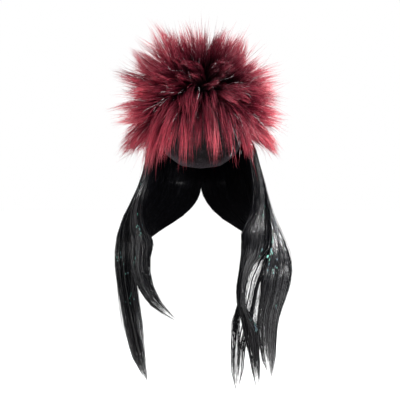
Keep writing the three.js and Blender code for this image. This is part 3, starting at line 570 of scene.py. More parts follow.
def fieldCurls(bearing, polar, looseness):
    # curves anywhere on the base: the rows' values read by polar angle, the fringe's near the hairline
    rows = sorted(spikeRows[:-1], key=lambda row: row["polar"])
    fringe = spikeRows[-1]
    nearHairline = hairlineShare(bearing, polar)
    front = towardsFront(bearing)

    def value(name):
        plain = readTable(rows, "polar", polar, name)
        return plain + nearHairline * (fringe[name] - plain)

    def spread(name):
        return looseness * curlSpread[name] * dice.normal(size=len(bearing))

    rootLean = value("rootLean") + front * (value("frontRootLean") - value("rootLean"))
    tipLean = value("tipLean") + front * (value("frontTipLean") - value("tipLean"))
    return curlPoints(bearing, polar, rootLean + spread("rootLean"), tipLean + spread("tipLean"),
                      spread("sideways"), value("length") * spikes["length"] * (1 + spread("length")))


def baseEdge(bearing):
    # polar angle of the hair base's lower edge: at its drop, or above the cap's rim where that is higher
    return polarAtDrop(np.minimum(hairBase["drop"], rimDrop(bearing) - hairBase["rim"]))


rooting = {"throws": 3, "margin": 0.5}  # throws for each root asked for, degrees kept off the edge


def rootsOnBase(count):
    # places thrown evenly over the form's upper half, kept where they lie above the base's edge
    throws = count * rooting["throws"]
    polar = np.degrees(np.arccos(dice.uniform(0, 1, throws)))
    bearing = dice.uniform(-180, 180, throws)
    kept = polar < baseEdge(bearing) - rooting["margin"]
    return bearing[kept][:count], polar[kept][:count]


def alongCurls(curls, t):
    # quadratic curve: root, bend and tip weighed by (1-t)^2, 2t(1-t) and t^2
    t = t[..., None]
    root, bend, tip = curls[:, None, 0], curls[:, None, 1], curls[:, None, 2]
    return (1 - t) ** 2 * root + 2 * t * (1 - t) * bend + t ** 2 * tip


# toSpike, toTuft and toLock: how closely the hair gathers. Metres: radii, tuftReach, drifts and waves
redHair = {
    "tufts": 380, "locks": 2600, "strands": 18000, "stations": 6,
    "rootRadius": 0.00046, "tipRadius": 0.00008, "radiusSpread": (0.75, 1.25), "taper": (0.35, 2.5),
    "toSpike": 0.88, "toTuft": 0.84, "toLock": 0.84, "pullSpread": (0.6, 1.15), "bendPull": 0.5,
    "tuftPower": 0.9, "lockPower": 0.6, "tuftLooseness": 0.8, "strandLooseness": 0.6,
    "spikeLength": (0.84, 1.12), "tuftLength": (0.86, 1.04), "middleLength": 1.02,
    "tuftReach": 0.009, "farthest": 1.2, "edgeShorter": 0.22, "anyShorter": 0.3,
    "loose": 0.1, "looseLength": (0.65, 1.02), "looseHold": 0.4, "waves": 5,
    "drift": 0.0018, "looseDrift": 0.006, "wave": 0.0009, "looseWave": 0.003,
    "fringeReach": 0.2, "fringeSpread": 0.35, "topReach": 0.1, "slant": (0.3, 0.2, 1.0),
}
# the dark middle: its place and reach, and the share by which the dark root colour is drawn out there.
# Tone: its mean, its spreads, the painted light it gains with each metre to the right and the painted shade
# it loses low on the right
redShades = {
    "darkBearing": 12, "darkPolar": 35, "darkReach": 0.062, "darkShare": 0.58,
    "tone": 0.56, "tuftTone": 0.2, "lockTone": 0.13, "strandTone": 0.2,
    "paintedLightToRight": 0.9, "paintedShadeLowRight": 1.8, "low": (0.055, 0.09),
}


def gathered(paths, guides, amount, t, power):
    # each point moves to its guide by amount times the power of its way along
    return paths + (amount * np.clip(t, 0, 1) ** power)[..., None] * (guides - paths)


def redTufts():
    # tufts drawn to the nearest spike, their bends less than their tips. Each spike has a length of its
    # own, and each tuft a share of it
    spikeCurls = mainSpikes()
    curls = fieldCurls(*rootsOnBase(redHair["tufts"]), redHair["tuftLooseness"])
    home = nearest(curls[:, 0], spikeCurls[:, 0])
    pull = redHair["toSpike"] * dice.uniform(*redHair["pullSpread"], len(curls))[:, None]
    curls[:, 1] += redHair["bendPull"] * pull * (spikeCurls[home, 1] - curls[:, 1])
    curls[:, 2] += pull * (spikeCurls[home, 2] - curls[:, 2])
    tone = redShades["tuftTone"] * dice.normal(size=len(curls))
    spikeLength = dice.uniform(*redHair["spikeLength"], len(spikeCurls))
    return curls, tone, spikeLength[home] * dice.uniform(*redHair["tuftLength"], len(curls))


def redLocks(tuftCurls, tuftTone):
    # small locks, each of the tuft with the nearest root
    curls = fieldCurls(*rootsOnBase(redHair["locks"]), redHair["tuftLooseness"])
    tuft = nearest(curls[:, 0], tuftCurls[:, 0])
    return curls, tuft, tuftTone[tuft] + redShades["lockTone"] * dice.normal(size=len(curls))


def redLengths(bearing, polar, tuftLength, away, loose):
    # strands rooted at the middle of a tuft are the longest, so that it ends in a point; the fringe
    # and the top are longer by shares of their own
    count = len(away)
    edge = redHair["edgeShorter"] * np.minimum(away / redHair["tuftReach"], redHair["farthest"])
    chance = redHair["anyShorter"] * dice.uniform(0, 1, count) ** 2
    length = tuftLength * (redHair["middleLength"] - edge - chance)
    length = np.where(loose, dice.uniform(*redHair["looseLength"], count), length)
    length = length * (1 + redHair["fringeReach"] * hairlineShare(bearing, polar))
    return length * (1 + redHair["topReach"] * np.cos(np.radians(polar)) ** 2)


def taperedRadii(hair, count):
    # from the root's radius to the tip's: one share of the loss is even along the strand, the rest
    # grows with a power of the way along. Each strand is thicker or thinner by chance
    even, power = hair["taper"]
    station = np.linspace(0, 1, hair["stations"])[None, :]
    thick = 1 - even * station - (1 - even) * station ** power
    radii = hair["tipRadius"] + (hair["rootRadius"] - hair["tipRadius"]) * thick
    return radii * dice.uniform(*hair["radiusSpread"], (count, 1))


def redTones(roots, t, lockTone):
    # the root colour is drawn out along the strands round the dark middle, by a bell curve of the
    # distance from it. Tone rises to the right as painted light and falls again low on the right as painted
    # shade
    middle = capPoints(redShades["darkBearing"], redShades["darkPolar"], hairBase["standoff"])
    dark = np.exp(-np.sum((roots - middle) ** 2, axis=1) / redShades["darkReach"] ** 2)
    shown = t * (1 - redShades["darkShare"] * dark[:, None])
    paintedShadeLowRight = np.maximum(roots[:, 0], 0) * easeIn(*redShades["low"], -roots[:, 2])
    tone = redShades["tone"] + lockTone + redShades["strandTone"] * dice.normal(size=len(roots))
    # painted light to the right, painted shade low on the right
    tone = tone + redShades["paintedLightToRight"] * roots[:, 0] - redShades["paintedShadeLowRight"] * paintedShadeLowRight
    return np.clip(shown, 0, 1), np.clip(tone, 0, 1)


def redStrands():
    # strands gather in small locks, locks in tufts and tufts to their spike, more towards the tip.
    # Each also drifts with the square of its way along and waves in a sine that grows with the way
    tuftCurls, tuftTone, tuftLength = redTufts()
    lockCurls, lockTuft, lockTone = redLocks(tuftCurls, tuftTone)
    bearing, polar = rootsOnBase(redHair["strands"])
    count = len(bearing)
    curls = fieldCurls(bearing, polar, redHair["strandLooseness"])
    lock = nearest(curls[:, 0], lockCurls[:, 0])
    tuft = lockTuft[lock]
    away = np.linalg.norm(curls[:, 0] - tuftCurls[tuft, 0], axis=1)
    loose = dice.uniform(size=count) < redHair["loose"]
    length = redLengths(bearing, polar, tuftLength[tuft], away, loose)
    t = np.linspace(0, 1, redHair["stations"])[None, :] * length[:, None]
    sheer = 1 - redHair["fringeSpread"] * hairlineShare(bearing, polar)
    hold = (np.where(loose, redHair["looseHold"], 1) * sheer)[:, None]
    guides = gathered(alongCurls(lockCurls[lock], t), alongCurls(tuftCurls[tuft], t),
                      redHair["toTuft"], t, redHair["tuftPower"])
    paths = gathered(alongCurls(curls, t), guides, redHair["toLock"] * hold, t, redHair["lockPower"])
    driftSize = np.where(loose, redHair["looseDrift"], redHair["drift"])[:, None, None]
    waveSize = np.where(loose, redHair["looseWave"], redHair["wave"])[:, None, None]
    drift = driftSize * dice.normal(size=(count, 1, 3))
    wave = waveSize * dice.normal(size=(count, 1, 3))
    phase = dice.uniform(0, 2 * np.pi, (count, 1, 1))
    way = t[..., None]
    paths = paths + drift * way ** 2 + wave * np.sin(redHair["waves"] * way + phase) * way
    radii = taperedRadii(redHair, count)
    return bearing, polar, paths, radii, *redTones(curls[:, 0], t, lockTone[lock])


def basePart(fromPolar, fromBearing, toBearing, steps):
    # closed band of the hair base, section by section: outer face down to its edge, inner face back up
    bearings = np.linspace(fromBearing, toBearing, steps)
    share = np.linspace(0, 1, hairBase["down"])[None, :]
    polar = fromPolar + share * (baseEdge(bearings)[:, None] - fromPolar)
    low, high = hairBase["standoff"], hairBase["standoff"] + hairBase["wall"]
    outer = capPoints(bearings[:, None], polar, high)
    inner = capPoints(bearings[:, None], polar, low)[:, ::-1]
    return gridPart(np.concatenate([outer, inner], axis=1), np.zeros(steps), hairBase["tone"])


def baseTop():
    # closed cap of the hair base, level by level: outer face down from the top, inner face back up
    bearings = np.linspace(0, 360, hairBase["around"], endpoint=False)[None, :]
    polar = np.linspace(0, hairBase["crownPolar"] - hairBase["gap"], hairBase["down"] + 1)[1:, None]
    low, high = hairBase["standoff"], hairBase["standoff"] + hairBase["wall"]
    points = np.concatenate([capPoints(bearings, polar, high), capPoints(bearings, polar, low)[::-1]])
    poles = capPoints(np.zeros(2), np.zeros(2), np.array([high, low]))
    return gridPart(points, np.zeros(len(points)), hairBase["tone"], poles)


bearing, polar, paths, radii, along, tone = redStrands()
turned = halfTurned(bearing)
seam, gap = hairBase["seam"], hairBase["gap"]
nearCrown = hairBase["crownPolar"] + gap
lower = polar >= hairBase["crownPolar"]
# each piece with the strands rooted in it and its part of the base
zones = [
    ("crown_spikes", ~lower, baseTop()),
    ("fringe", lower & (np.abs(turned) < seam),
     basePart(nearCrown, gap - seam, seam - gap, hairBase["frontSteps"])),
    ("right_spikes", lower & (turned >= seam) & (turned < 180 - seam),
     basePart(nearCrown, seam + gap, 180 - seam - gap, hairBase["sideSteps"])),
    ("back_spikes", lower & (np.abs(turned) >= 180 - seam),
     basePart(nearCrown, 180 - seam + gap, 180 + seam - gap, hairBase["frontSteps"])),
    ("left_spikes", lower & (turned <= -seam) & (turned > seam - 180),
     basePart(nearCrown, 180 + seam + gap, 360 - seam - gap, hairBase["sideSteps"])),
]
for name, chosen, base in zones:
    outward = capNormals(bearing[chosen], polar[chosen], 0.0)
    sideways = unit(np.cross(outward, redHair["slant"]))
    strands = strandPart(paths[chosen], radii[chosen], along[chosen], tone[chosen], sideways)
    finishPiece(makeMesh(name + "_hair", joinParts([base, strands]), redFibre), "red_hair", name)


# long black hair

longHair = {"top": 0.0983, "drop": 0.579, "spread": 0.150, "frontDepth": 0.118, "backDepth": 0.082,
            "thickness": 0.022, "tipThick": 0.5, "edge": 0.3, "bulge": 2.5, "backLayer": 0.016}
# the ellipse that the hair lies on, by the way down: half widths as shares of spread, half depths as
# shares of frontDepth and backDepth
drapeRows = tableRows(
    ("down", "left", "right", "front", "back"),
    (0, 0.5, 0.5, 0.8, 0.98), (0.03, 0.53, 0.53, 0.8, 0.98), (0.07, 0.59, 0.6, 0.8, 1),
    (0.13, 0.6, 0.63, 0.79, 1), (0.18, 0.635, 0.665, 0.76, 1), (0.23, 0.68, 0.69, 0.72, 1),
    (0.28, 0.745, 0.71, 0.71, 0.97), (0.33, 0.82, 0.75, 0.73, 0.95), (0.38, 0.87, 0.82, 0.78, 0.97),
    (0.42, 0.9, 0.88, 0.83, 0.98), (0.46, 0.915, 0.945, 0.875, 0.98), (0.5, 0.92, 0.985, 0.91, 0.98),
    (0.54, 0.915, 1, 0.93, 0.98), (0.6, 0.895, 0.975, 0.95, 0.98), (0.66, 0.88, 0.91, 0.97, 0.98),
    (0.7, 0.867, 0.865, 0.98, 0.98), (0.75, 0.865, 0.84, 0.985, 0.98), (0.82, 0.865, 0.85, 0.99, 0.98),
    (1, 0.865, 0.865, 1, 0.98))
# each row: frontDown, frontAt, backDown, backAt, thick, layer; tip: down, at. What a lock doesn't name,
# it takes from blackHair or lockBody. inset: how far its body's front and back edge lie inside the
# lock's own, or past it at a neighbour. bodyEnds: where the body narrows. fan: how much wider the ends
# spread. parting: where the strands open and close round the gap on the right, how far they move
# aside, the share of them that crosses it and how widely those fan out
# tone: the right outer lock's is raised as a painted sheen where its gloss falls, lighter and with more
# shine; the right middle and right inner locks' are lowered, darker and with less shine, to keep highlights
# off them
locks = [
    {"name": "left_inner_lock", "side": -1, "strands": 600, "wisps": 4, "ends": (0.95, 1.01), "tone": 0.42,
     "inset": (0.02, -0.012), "tip": (0.711, 18.2), "rows": [
        (0, 72, 0, 83.6, 0.23, 0), (0.04, 72, 0.04, 82.4, 0.45, 0), (0.1, 71.5, 0.1, 80.6, 0.62, 0),
        (0.18, 70, 0.18, 78.2, 0.75, 0), (0.265, 65, 0.265, 75.4, 0.88, 0),
        (0.32, 56.5, 0.32, 71.5, 0.95, 0), (0.375, 46.5, 0.375, 67, 1, 0), (0.42, 39, 0.42, 63, 1, 0),
        (0.47, 40.6, 0.475, 58.9, 1, 0), (0.52, 41, 0.528, 57, 0.97, 0), (0.56, 40, 0.575, 54, 0.9, 0),
        (0.6, 37, 0.612, 49.5, 0.75, 0), (0.635, 33, 0.645, 44, 0.6, 0),
        (0.665, 27.5, 0.678, 36, 0.45, 0), (0.69, 22.5, 0.7, 27.5, 0.3, 0),
    ]},
    {"name": "left_outer_lock", "side": -1, "strands": 800, "ends": (0.97, 1.02), "gather": 0.2,
     "inset": (0.0, -0.008), "tip": (0.942, 46.7), "rows": [
        (0, 84.4, 0, 104, 0.23, 0), (0.04, 83.2, 0.04, 107, 0.45, 0), (0.1, 81.4, 0.1, 111, 0.62, 0),
        (0.18, 79, 0.18, 111, 0.75, 0), (0.265, 76.2, 0.265, 107, 0.88, 0),
        (0.32, 72.3, 0.32, 104, 0.95, 0), (0.375, 67.8, 0.375, 101, 1, 0),
        (0.42, 63.8, 0.42, 98.5, 1, 0), (0.475, 59.7, 0.475, 96.5, 1, 0),
        (0.528, 58, 0.528, 94.5, 1, 0), (0.573, 58.3, 0.573, 92, 0.97, 0),
        (0.65, 57, 0.65, 90, 0.88, 0), (0.72, 53.8, 0.727, 90, 0.74, 0),
        (0.79, 51.5, 0.804, 76, 0.6, 0), (0.85, 49.8, 0.861, 68.7, 0.42, 0),
        (0.9, 48, 0.9, 60, 0.3, 0),
    ]},
    {"name": "left_nape_lock", "side": -1, "strands": 620, "wisps": 7, "innerShare": 0.384,
     "inset": (-0.006, -0.0045), "tip": (0.85, 93), "rows": [
        (0, 104.8, 0, 179.7, 0.23, 0), (0.04, 107.8, 0.05, 179.7, 0.4, 0),
        (0.1, 111.8, 0.11, 179.7, 0.5, 0), (0.17, 111.8, 0.165, 179.7, 0.55, 0),
        (0.23, 109.5, 0.235, 179, 0.6, 0), (0.29, 106.5, 0.3, 170, 0.65, 0),
        (0.345, 103.6, 0.355, 155, 0.7, 0), (0.4, 100.5, 0.4, 138, 0.7, 0),
        (0.46, 97.8, 0.445, 122, 0.7, 0), (0.53, 95.3, 0.51, 110, 0.65, 0),
        (0.6, 92.6, 0.58, 103, 0.6, 0), (0.68, 91, 0.67, 99, 0.5, 0), (0.76, 91, 0.755, 96.5, 0.35, 0),
    ]},
    {"name": "right_inner_lock", "side": 1, "strands": 500, "gather": 0.45, "fan": 0.5, "tone": 0.32,
     "inset": (0.02, -0.012), "tip": (0.988, 52), "rows": [
        (0, 72, 0, 79.7, 0.23, 0), (0.04, 72, 0.04, 79, 0.45, 0), (0.1, 71.5, 0.1, 77.5, 0.62, 0),
        (0.18, 70, 0.18, 75.5, 0.75, 0), (0.265, 64, 0.265, 71.5, 0.88, 0),
        (0.31, 55, 0.31, 67, 0.95, 0), (0.35, 45, 0.35, 62, 1, 0), (0.39, 35, 0.39, 56.5, 1, 0),
        (0.43, 32.5, 0.43, 51.5, 1, 0), (0.47, 29.8, 0.47, 45, 0.9, 0),
        (0.51, 27.5, 0.51, 36, 0.75, 0), (0.55, 26, 0.55, 32, 0.6, 0), (0.6, 25.2, 0.6, 30.6, 0.55, 0),
        (0.65, 27.5, 0.65, 32.5, 0.55, 0), (0.7, 33.5, 0.7, 39, 0.6, 0), (0.74, 38, 0.745, 51, 0.7, 0),
        (0.79, 41, 0.79, 51.3, 0.6, 0), (0.85, 43.5, 0.85, 51.6, 0.5, 0),
        (0.92, 47.3, 0.92, 53.5, 0.35, 0),
    ]},
    {"name": "right_middle_lock", "side": 1, "strands": 300, "wisps": 7, "ends": (0.96, 1.05), "fan": 0.7,
     "tone": 0.18, "bodyEnds": (0.40, 0.50),
     "parting": {"open": (0.43, 0.52), "close": (0.69, 0.78), "aside": 1.0, "crossing": 0.06, "fan": 1.2},
     "tip": (0.985, 33.6), "rows": [
        (0, 80.3, 0, 87.6, 0.23, 0), (0.04, 79.6, 0.04, 86.8, 0.45, 0), (0.1, 78.1, 0.1, 85, 0.62, 0),
        (0.18, 76.1, 0.18, 83, 0.75, 0), (0.265, 72.1, 0.265, 79.5, 0.88, 0),
        (0.31, 67.6, 0.31, 76.5, 0.95, 0), (0.35, 62.6, 0.35, 72.5, 1, 0),
        (0.39, 57.1, 0.39, 67, 1, 0), (0.43, 52.1, 0.43, 61, 0.95, 0), (0.47, 45.8, 0.47, 54, 0.8, 0),
        (0.51, 42, 0.51, 49, 0.6, 0.4), (0.55, 40, 0.55, 46, 0.45, 0.8), (0.6, 39.5, 0.6, 45, 0.4, 1),
        (0.65, 39.5, 0.65, 45.5, 0.4, 1), (0.7, 38, 0.7, 46, 0.4, 1), (0.75, 35, 0.75, 46, 0.4, 1),
        (0.8, 31.5, 0.8, 42.5, 0.35, 1), (0.86, 31, 0.86, 40.5, 0.3, 1),
        (0.93, 31.3, 0.93, 38.5, 0.2, 1),
    ]},
    {"name": "right_outer_lock", "side": 1, "strands": 820, "wisps": 11, "fan": 0.12, "tone": 0.66,
     "inset": (0.0, -0.008), "tip": (0.955, 80), "rows": [
        (0, 88.2, 0, 104, 0.23, 0), (0.04, 87.4, 0.04, 107, 0.45, 0), (0.1, 85.6, 0.1, 111, 0.62, 0),
        (0.18, 83.6, 0.18, 111, 0.75, 0), (0.265, 80.1, 0.265, 107, 0.88, 0),
        (0.31, 77.1, 0.31, 104.5, 0.95, 0), (0.35, 73.1, 0.35, 102, 1, 0),
        (0.39, 67.6, 0.39, 100, 1, 0), (0.43, 61.6, 0.43, 98, 1, 0), (0.47, 54.6, 0.47, 96, 1, 0),
        (0.51, 49.6, 0.51, 94.5, 1, 0), (0.55, 46.6, 0.55, 93, 1, 0), (0.6, 46, 0.6, 91.5, 0.95, 0),
        (0.65, 47.5, 0.65, 90.5, 0.9, 0), (0.7, 49.5, 0.7, 90, 0.84, 0),
        (0.75, 53.5, 0.75, 90, 0.76, 0), (0.8, 55.5, 0.8, 90, 0.68, 0), (0.86, 59, 0.86, 90, 0.55, 0),
        (0.91, 67, 0.915, 88, 0.35, 0),
    ]},
    {"name": "right_nape_lock", "side": 1, "strands": 620, "wisps": 7, "innerShare": 0.384,
     "inset": (-0.006, -0.0045), "tip": (0.88, 93), "rows": [
        (0, 104.8, 0, 179.7, 0.23, 0), (0.04, 107.8, 0.05, 179.7, 0.4, 0),
        (0.1, 111.8, 0.11, 179.7, 0.5, 0), (0.17, 111.8, 0.165, 179.7, 0.55, 0),
        (0.23, 109.5, 0.23, 179, 0.6, 0), (0.29, 106.5, 0.29, 171, 0.65, 0),
        (0.345, 103.6, 0.345, 157, 0.7, 0), (0.4, 100.5, 0.39, 140, 0.7, 0),
        (0.46, 97.8, 0.44, 124, 0.7, 0), (0.53, 95.3, 0.505, 111, 0.65, 0),
        (0.6, 92.6, 0.58, 103, 0.6, 0), (0.68, 91, 0.68, 100, 0.5, 0), (0.78, 91, 0.78, 97, 0.35, 0),
    ]},
]


def drapePoints(side, bearing, down, inward):
    # ellipse at each level, wide and deep as drapeRows says, never inside the cap's form
    drop = longHair["top"] + down * (longHair["drop"] - longHair["top"])
    b = np.radians(bearing)
    share = readTable(drapeRows, "down", down, "left" if side < 0 else "right")
    front = longHair["frontDepth"] * readTable(drapeRows, "down", down, "front")
    back = longHair["backDepth"] * readTable(drapeRows, "down", down, "back")
    wide = np.maximum(longHair["spread"] * share, capHalf(drop, capForm["width"] / 2)) - inward
    deep = np.maximum(np.where(bearing < 90, front, back), capHalf(drop, capForm["depth"] / 2)) - inward
    point = np.stack([side * wide * np.sin(b), -deep * np.cos(b), -drop], axis=-1)
    out = unit(np.stack([side * np.sin(b) / wide, -np.cos(b) / deep, np.zeros_like(b)], axis=-1))
    return point, out


def lockPoints(lock, down, u, v):
    # place in a lock: down its way, u from its front edge to its back edge, v from its inner face to
    # its outer face. Edges and thickness are read smoothly between the lock's rows
    tipDown, tipAt = lock["tip"]
    thickness, layer = lock["rows"][-1][4:]
    tip = (tipDown, tipAt, tipDown, tipAt, thickness * longHair["tipThick"], layer)
    rows = np.array([*lock["rows"], tip], float)
    middle = (rows[:, 0] + rows[:, 2]) / 2
    place = np.clip(down, middle[0], tipDown)
    frontDown, frontAt, backDown, backAt, thick, layer = (
        smoothTable(middle, rows[:, i], place) for i in range(rows.shape[1]))
    bearing = frontAt + u * (backAt - frontAt)
    level = np.maximum(down + frontDown + u * (backDown - frontDown) - place, 0)
    point, out = drapePoints(lock["side"], bearing, level, layer * longHair["backLayer"])
    fromMiddle = np.minimum(np.abs(2 * u - 1), 1)
    bulge = longHair["edge"] + (1 - longHair["edge"]) * (1 - fromMiddle ** longHair["bulge"])
    return point + out * (longHair["thickness"] * thick * bulge * v)[..., None], out


# across and depth are places from 0 to 1 in a lock, down is the way down from the locks' tops; metres:
# radii, lift and strayEnd
blackHair = {
    "stations": 14, "rootRadius": 0.00040, "tipRadius": 0.00006, "radiusSpread": (0.7, 1.25),
    "taper": (0.15, 5), "innerShare": 0.16, "innerDepth": (-0.06, 0.05), "outerDepth": (0.1, 1),
    "depthPower": 0.6, "deepest": 1.05, "rise": 0.1, "wisps": 6, "wispSpread": 0.4, "middleSpread": 0.2,
    "ends": (0.93, 1.03), "shorter": 0.3, "gather": 0.62, "gatherOver": (0.6, 1.05), "looseGather": 0.1,
    "wander": 0.035, "halfWaves": 2.4, "waveSpread": (0.6, 1.4), "steadier": 0.7,
    "steadyOver": (0.6, 0.85), "across": (-0.01, 1.02), "fanOver": (0.64, 0.8), "flyaways": 0.06,
    "lift": (0.001, 0.0035), "strayEnd": 0.006, "strayAxes": (1, 1, 0.3), "tone": 0.5, "bundles": 26,
    # inside: painted shade on the inner face's strands, their tone lowered and capped, darker and with less
    # shine
    "bundleTone": 0.2, "strandTone": 0.21, "paintedShadeInside": 0.4, "paintedShadeInnerTone": 0.2,
}
# strands alone, thinly spread over the gap on the right and, lower down, between the locks' ends
veil = {"side": 1, "strands": 26, "fine": 0.6, "tip": (0.96, 56), "rows": [
    (0.36, 42, 0.36, 64, 0.8, 0), (0.44, 35, 0.44, 56, 0.6, 0), (0.52, 31, 0.52, 49, 0.5, 0.1),
    (0.6, 30.6, 0.6, 46.5, 0.4, 0.2), (0.68, 35, 0.68, 48, 0.4, 0.2), (0.76, 41, 0.76, 55, 0.4, 0.1),
    (0.85, 43, 0.85, 60, 0.4, 0), (0.92, 46, 0.92, 62, 0.3, 0),
]}
lowVeil = {"side": 1, "strands": 44, "fine": 0.6, "ends": (0.78, 0.88), "gather": 0.3,
           "tip": (1.15, 56), "rows": [
    (0.62, 46, 0.62, 70, 0.4, 0.2), (0.7, 40, 0.7, 74, 0.4, 0.1), (0.78, 35, 0.78, 77, 0.4, 0),
    (0.86, 33, 0.86, 78, 0.4, 0), (0.94, 32, 0.94, 78, 0.3, 0),
]}


def strandsAcross(lock, u, down, wispMiddle, loose, phase):
    # place across the lock: drawn to the middle of the strand's wisp towards the end, with a slow sine
    # of its own that calms down there, and fanned out lower down where the lock fans
    tipDown = lock["tip"][0]
    station = np.linspace(0, 1, blackHair["stations"])[None, :]
    gatherFrom, gatherTo = blackHair["gatherOver"]
    gather = lock.get("gather", blackHair["gather"]) * np.where(loose, blackHair["looseGather"], 1)[:, None]
    gather = gather * easeIn(gatherFrom * tipDown, gatherTo * tipDown, down)
    pace = dice.uniform(*blackHair["waveSpread"], (len(u), 1))
    wander = blackHair["wander"] * np.sin(blackHair["halfWaves"] * np.pi * station * pace + phase)
    calm = 1 - blackHair["steadier"] * easeIn(*blackHair["steadyOver"], down / tipDown)
    across = u[:, None] + gather * (wispMiddle[:, None] - u[:, None]) + wander * station * calm
    spread = 1 + lock.get("fan", 0) * easeIn(*blackHair["fanOver"], down)
    return 0.5 + (np.clip(across, *blackHair["across"]) - 0.5) * spread


def partedAcross(parting, u, down, across):
    # between open and close each strand moves aside by the half that it is in; a few cross instead
    opened = easeIn(*parting["open"], down) * (1 - easeIn(*parting["close"], down))
    crossing = dice.uniform(size=(len(u), 1)) < parting["crossing"]
    aside = parting["aside"] * np.sign(u - 0.5)[:, None]
    return across + opened * np.where(crossing, parting["fan"] * (u[:, None] - 0.5), aside)


def blackTones(lock, u, inner):
    # the lock's tone, changed by chance from bundle to bundle and strand to strand; darker inside, as
    # painted shade on the inner face
    bundle = (u * blackHair["bundles"]).astype(int)
    bundleTone = blackHair["bundleTone"] * dice.normal(size=blackHair["bundles"])
    strandTone = blackHair["strandTone"] * dice.normal(size=len(u))
    # the lock's tone carries a painted sheen on the right outer lock, and painted shade on the right middle
    # and inner locks
    tone = lock.get("tone", blackHair["tone"]) + bundleTone[bundle] + strandTone
    paintedShadeInnerTone = np.minimum(tone - blackHair["paintedShadeInside"], blackHair["paintedShadeInnerTone"])
    return np.clip(np.where(inner, paintedShadeInnerTone, tone), 0, 1)


def lockStrands(lock, count, start=0.0):
    # strands keep their place across the lock and draw together in wisps towards the ends; each wisp
    # has an end of its own. Loose strands lift off in a half sine and stray with the square of the way
    wisps = lock.get("wisps", blackHair["wisps"])
    u = dice.permutation((np.arange(count) + dice.uniform(size=count)) / count)
    inner = dice.uniform(size=count) < lock.get("innerShare", blackHair["innerShare"])
    v = np.where(inner, dice.uniform(*blackHair["innerDepth"], count),
                 dice.uniform(*blackHair["outerDepth"], count) ** blackHair["depthPower"])
    wisp = u * wisps + blackHair["wispSpread"] * dice.normal(size=count)
    wisp = np.clip(np.floor(wisp), 0, wisps - 1).astype(int)
    middles = (np.arange(wisps) + 0.5 + blackHair["middleSpread"] * dice.normal(size=wisps)) / wisps
    wispEnd = lock["tip"][0] * dice.uniform(*lock.get("ends", blackHair["ends"]), wisps)
    end = wispEnd[wisp] * (1 - blackHair["shorter"] * dice.uniform(size=count) ** 3)
    loose = dice.uniform(size=count) < blackHair["flyaways"]
    station = np.linspace(0, 1, blackHair["stations"])[None, :]
    down = start + (end[:, None] - start) * station
    phase = dice.uniform(0, 2 * np.pi, (count, 1))
    across = strandsAcross(lock, u, down, middles[wisp], loose, phase)
    if "parting" in lock:
        across = partedAcross(lock["parting"], u, down, across)
    rise = blackHair["rise"] * np.sin(2 * np.pi * station + 2 * phase) * station
    depth = v[:, None] + rise * (v > blackHair["outerDepth"][0])[:, None]
    points, out = lockPoints(lock, down, across, np.minimum(depth, blackHair["deepest"]))
    lift = np.where(loose, dice.uniform(*blackHair["lift"], count), 0)[:, None] * np.sin(np.pi * station)
    strayEnd = blackHair["strayEnd"] * dice.normal(size=(count, 1, 3)) * loose[:, None, None]
    points = points + out * lift[..., None]
    points = points + strayEnd * np.array(blackHair["strayAxes"]) * station[..., None] ** 2
    radii = taperedRadii(blackHair, count) * lock.get("fine", 1)
    return strandPart(points, radii, down, blackTones(lock, u, inner), out.mean(axis=1))


# grooves: share, number across and slant of each cosine; sway: how far and how fast they wander
lockBody = {"rows": 60, "columns": 32, "inset": (0.02, 0.02), "fill": 0.86, "groove": 0.10,
            "grooves": ((0.6, 7, 1), (0.4, 17, -2)), "sway": (0.6, 5), "end": 0.9, "narrowFrom": 0.66,
            "narrowTo": 0.06, "thinTo": 0.3, "innerFace": 0.06, "tone": 0.22}


def lockCore(lock):
    # body under the strands: the lock's own section drawn in a little, with grooves along the hair,
    # the sum of two cosines of the place across; it narrows to a thin end inside the wisps
    share = np.linspace(0, 1, lockBody["rows"])
    down = share * lock["tip"][0] * lockBody["end"]
    frontInset, backInset = lock.get("inset", lockBody["inset"])
    half = np.linspace(frontInset, 1 - backInset, lockBody["columns"])
    u = np.concatenate([half, half[::-1]])[None, :]
    sway = lockBody["sway"][0] * np.sin(lockBody["sway"][1] * share)[:, None]
    waves = sum(part * np.cos(2 * np.pi * number * u + slant * sway)
                for part, number, slant in lockBody["grooves"])
    groove = 1 - lockBody["groove"] * (1 + waves)
    outside = np.concatenate([np.ones(len(half)), np.zeros(len(half))])[None, :]
    narrowing = lock.get("bodyEnds", (lockBody["narrowFrom"] * down[-1], down[-1]))
    narrow = 1 - (1 - lockBody["narrowTo"]) * easeIn(*narrowing, down)[:, None]
    thin = lockBody["thinTo"] + (1 - lockBody["thinTo"]) * narrow
    v = np.where(outside > 0, lockBody["fill"] * groove * thin, lockBody["innerFace"])
    points, out = lockPoints(lock, np.broadcast_to(down[:, None], v.shape), 0.5 + (u - 0.5) * narrow, v)
    return gridPart(points, down, lockBody["tone"])


thinStrands = {"right_inner_lock": [veil], "right_middle_lock": [lowVeil]}
for lock in locks:
    parts = [lockCore(lock), lockStrands(lock, lock["strands"])]
    for thin in thinStrands.get(lock["name"], []):
        parts.append(lockStrands(thin, thin["strands"], thin["rows"][0][0]))
    finishPiece(makeMesh(lock["name"] + "_hair", joinParts(parts), blackFibre), "black_hair", lock["name"])


# thin film strands

ribbon = {"twist": 16, "turnByTone": 6, "pressed": 0.75}  # angles in radians, share taken off


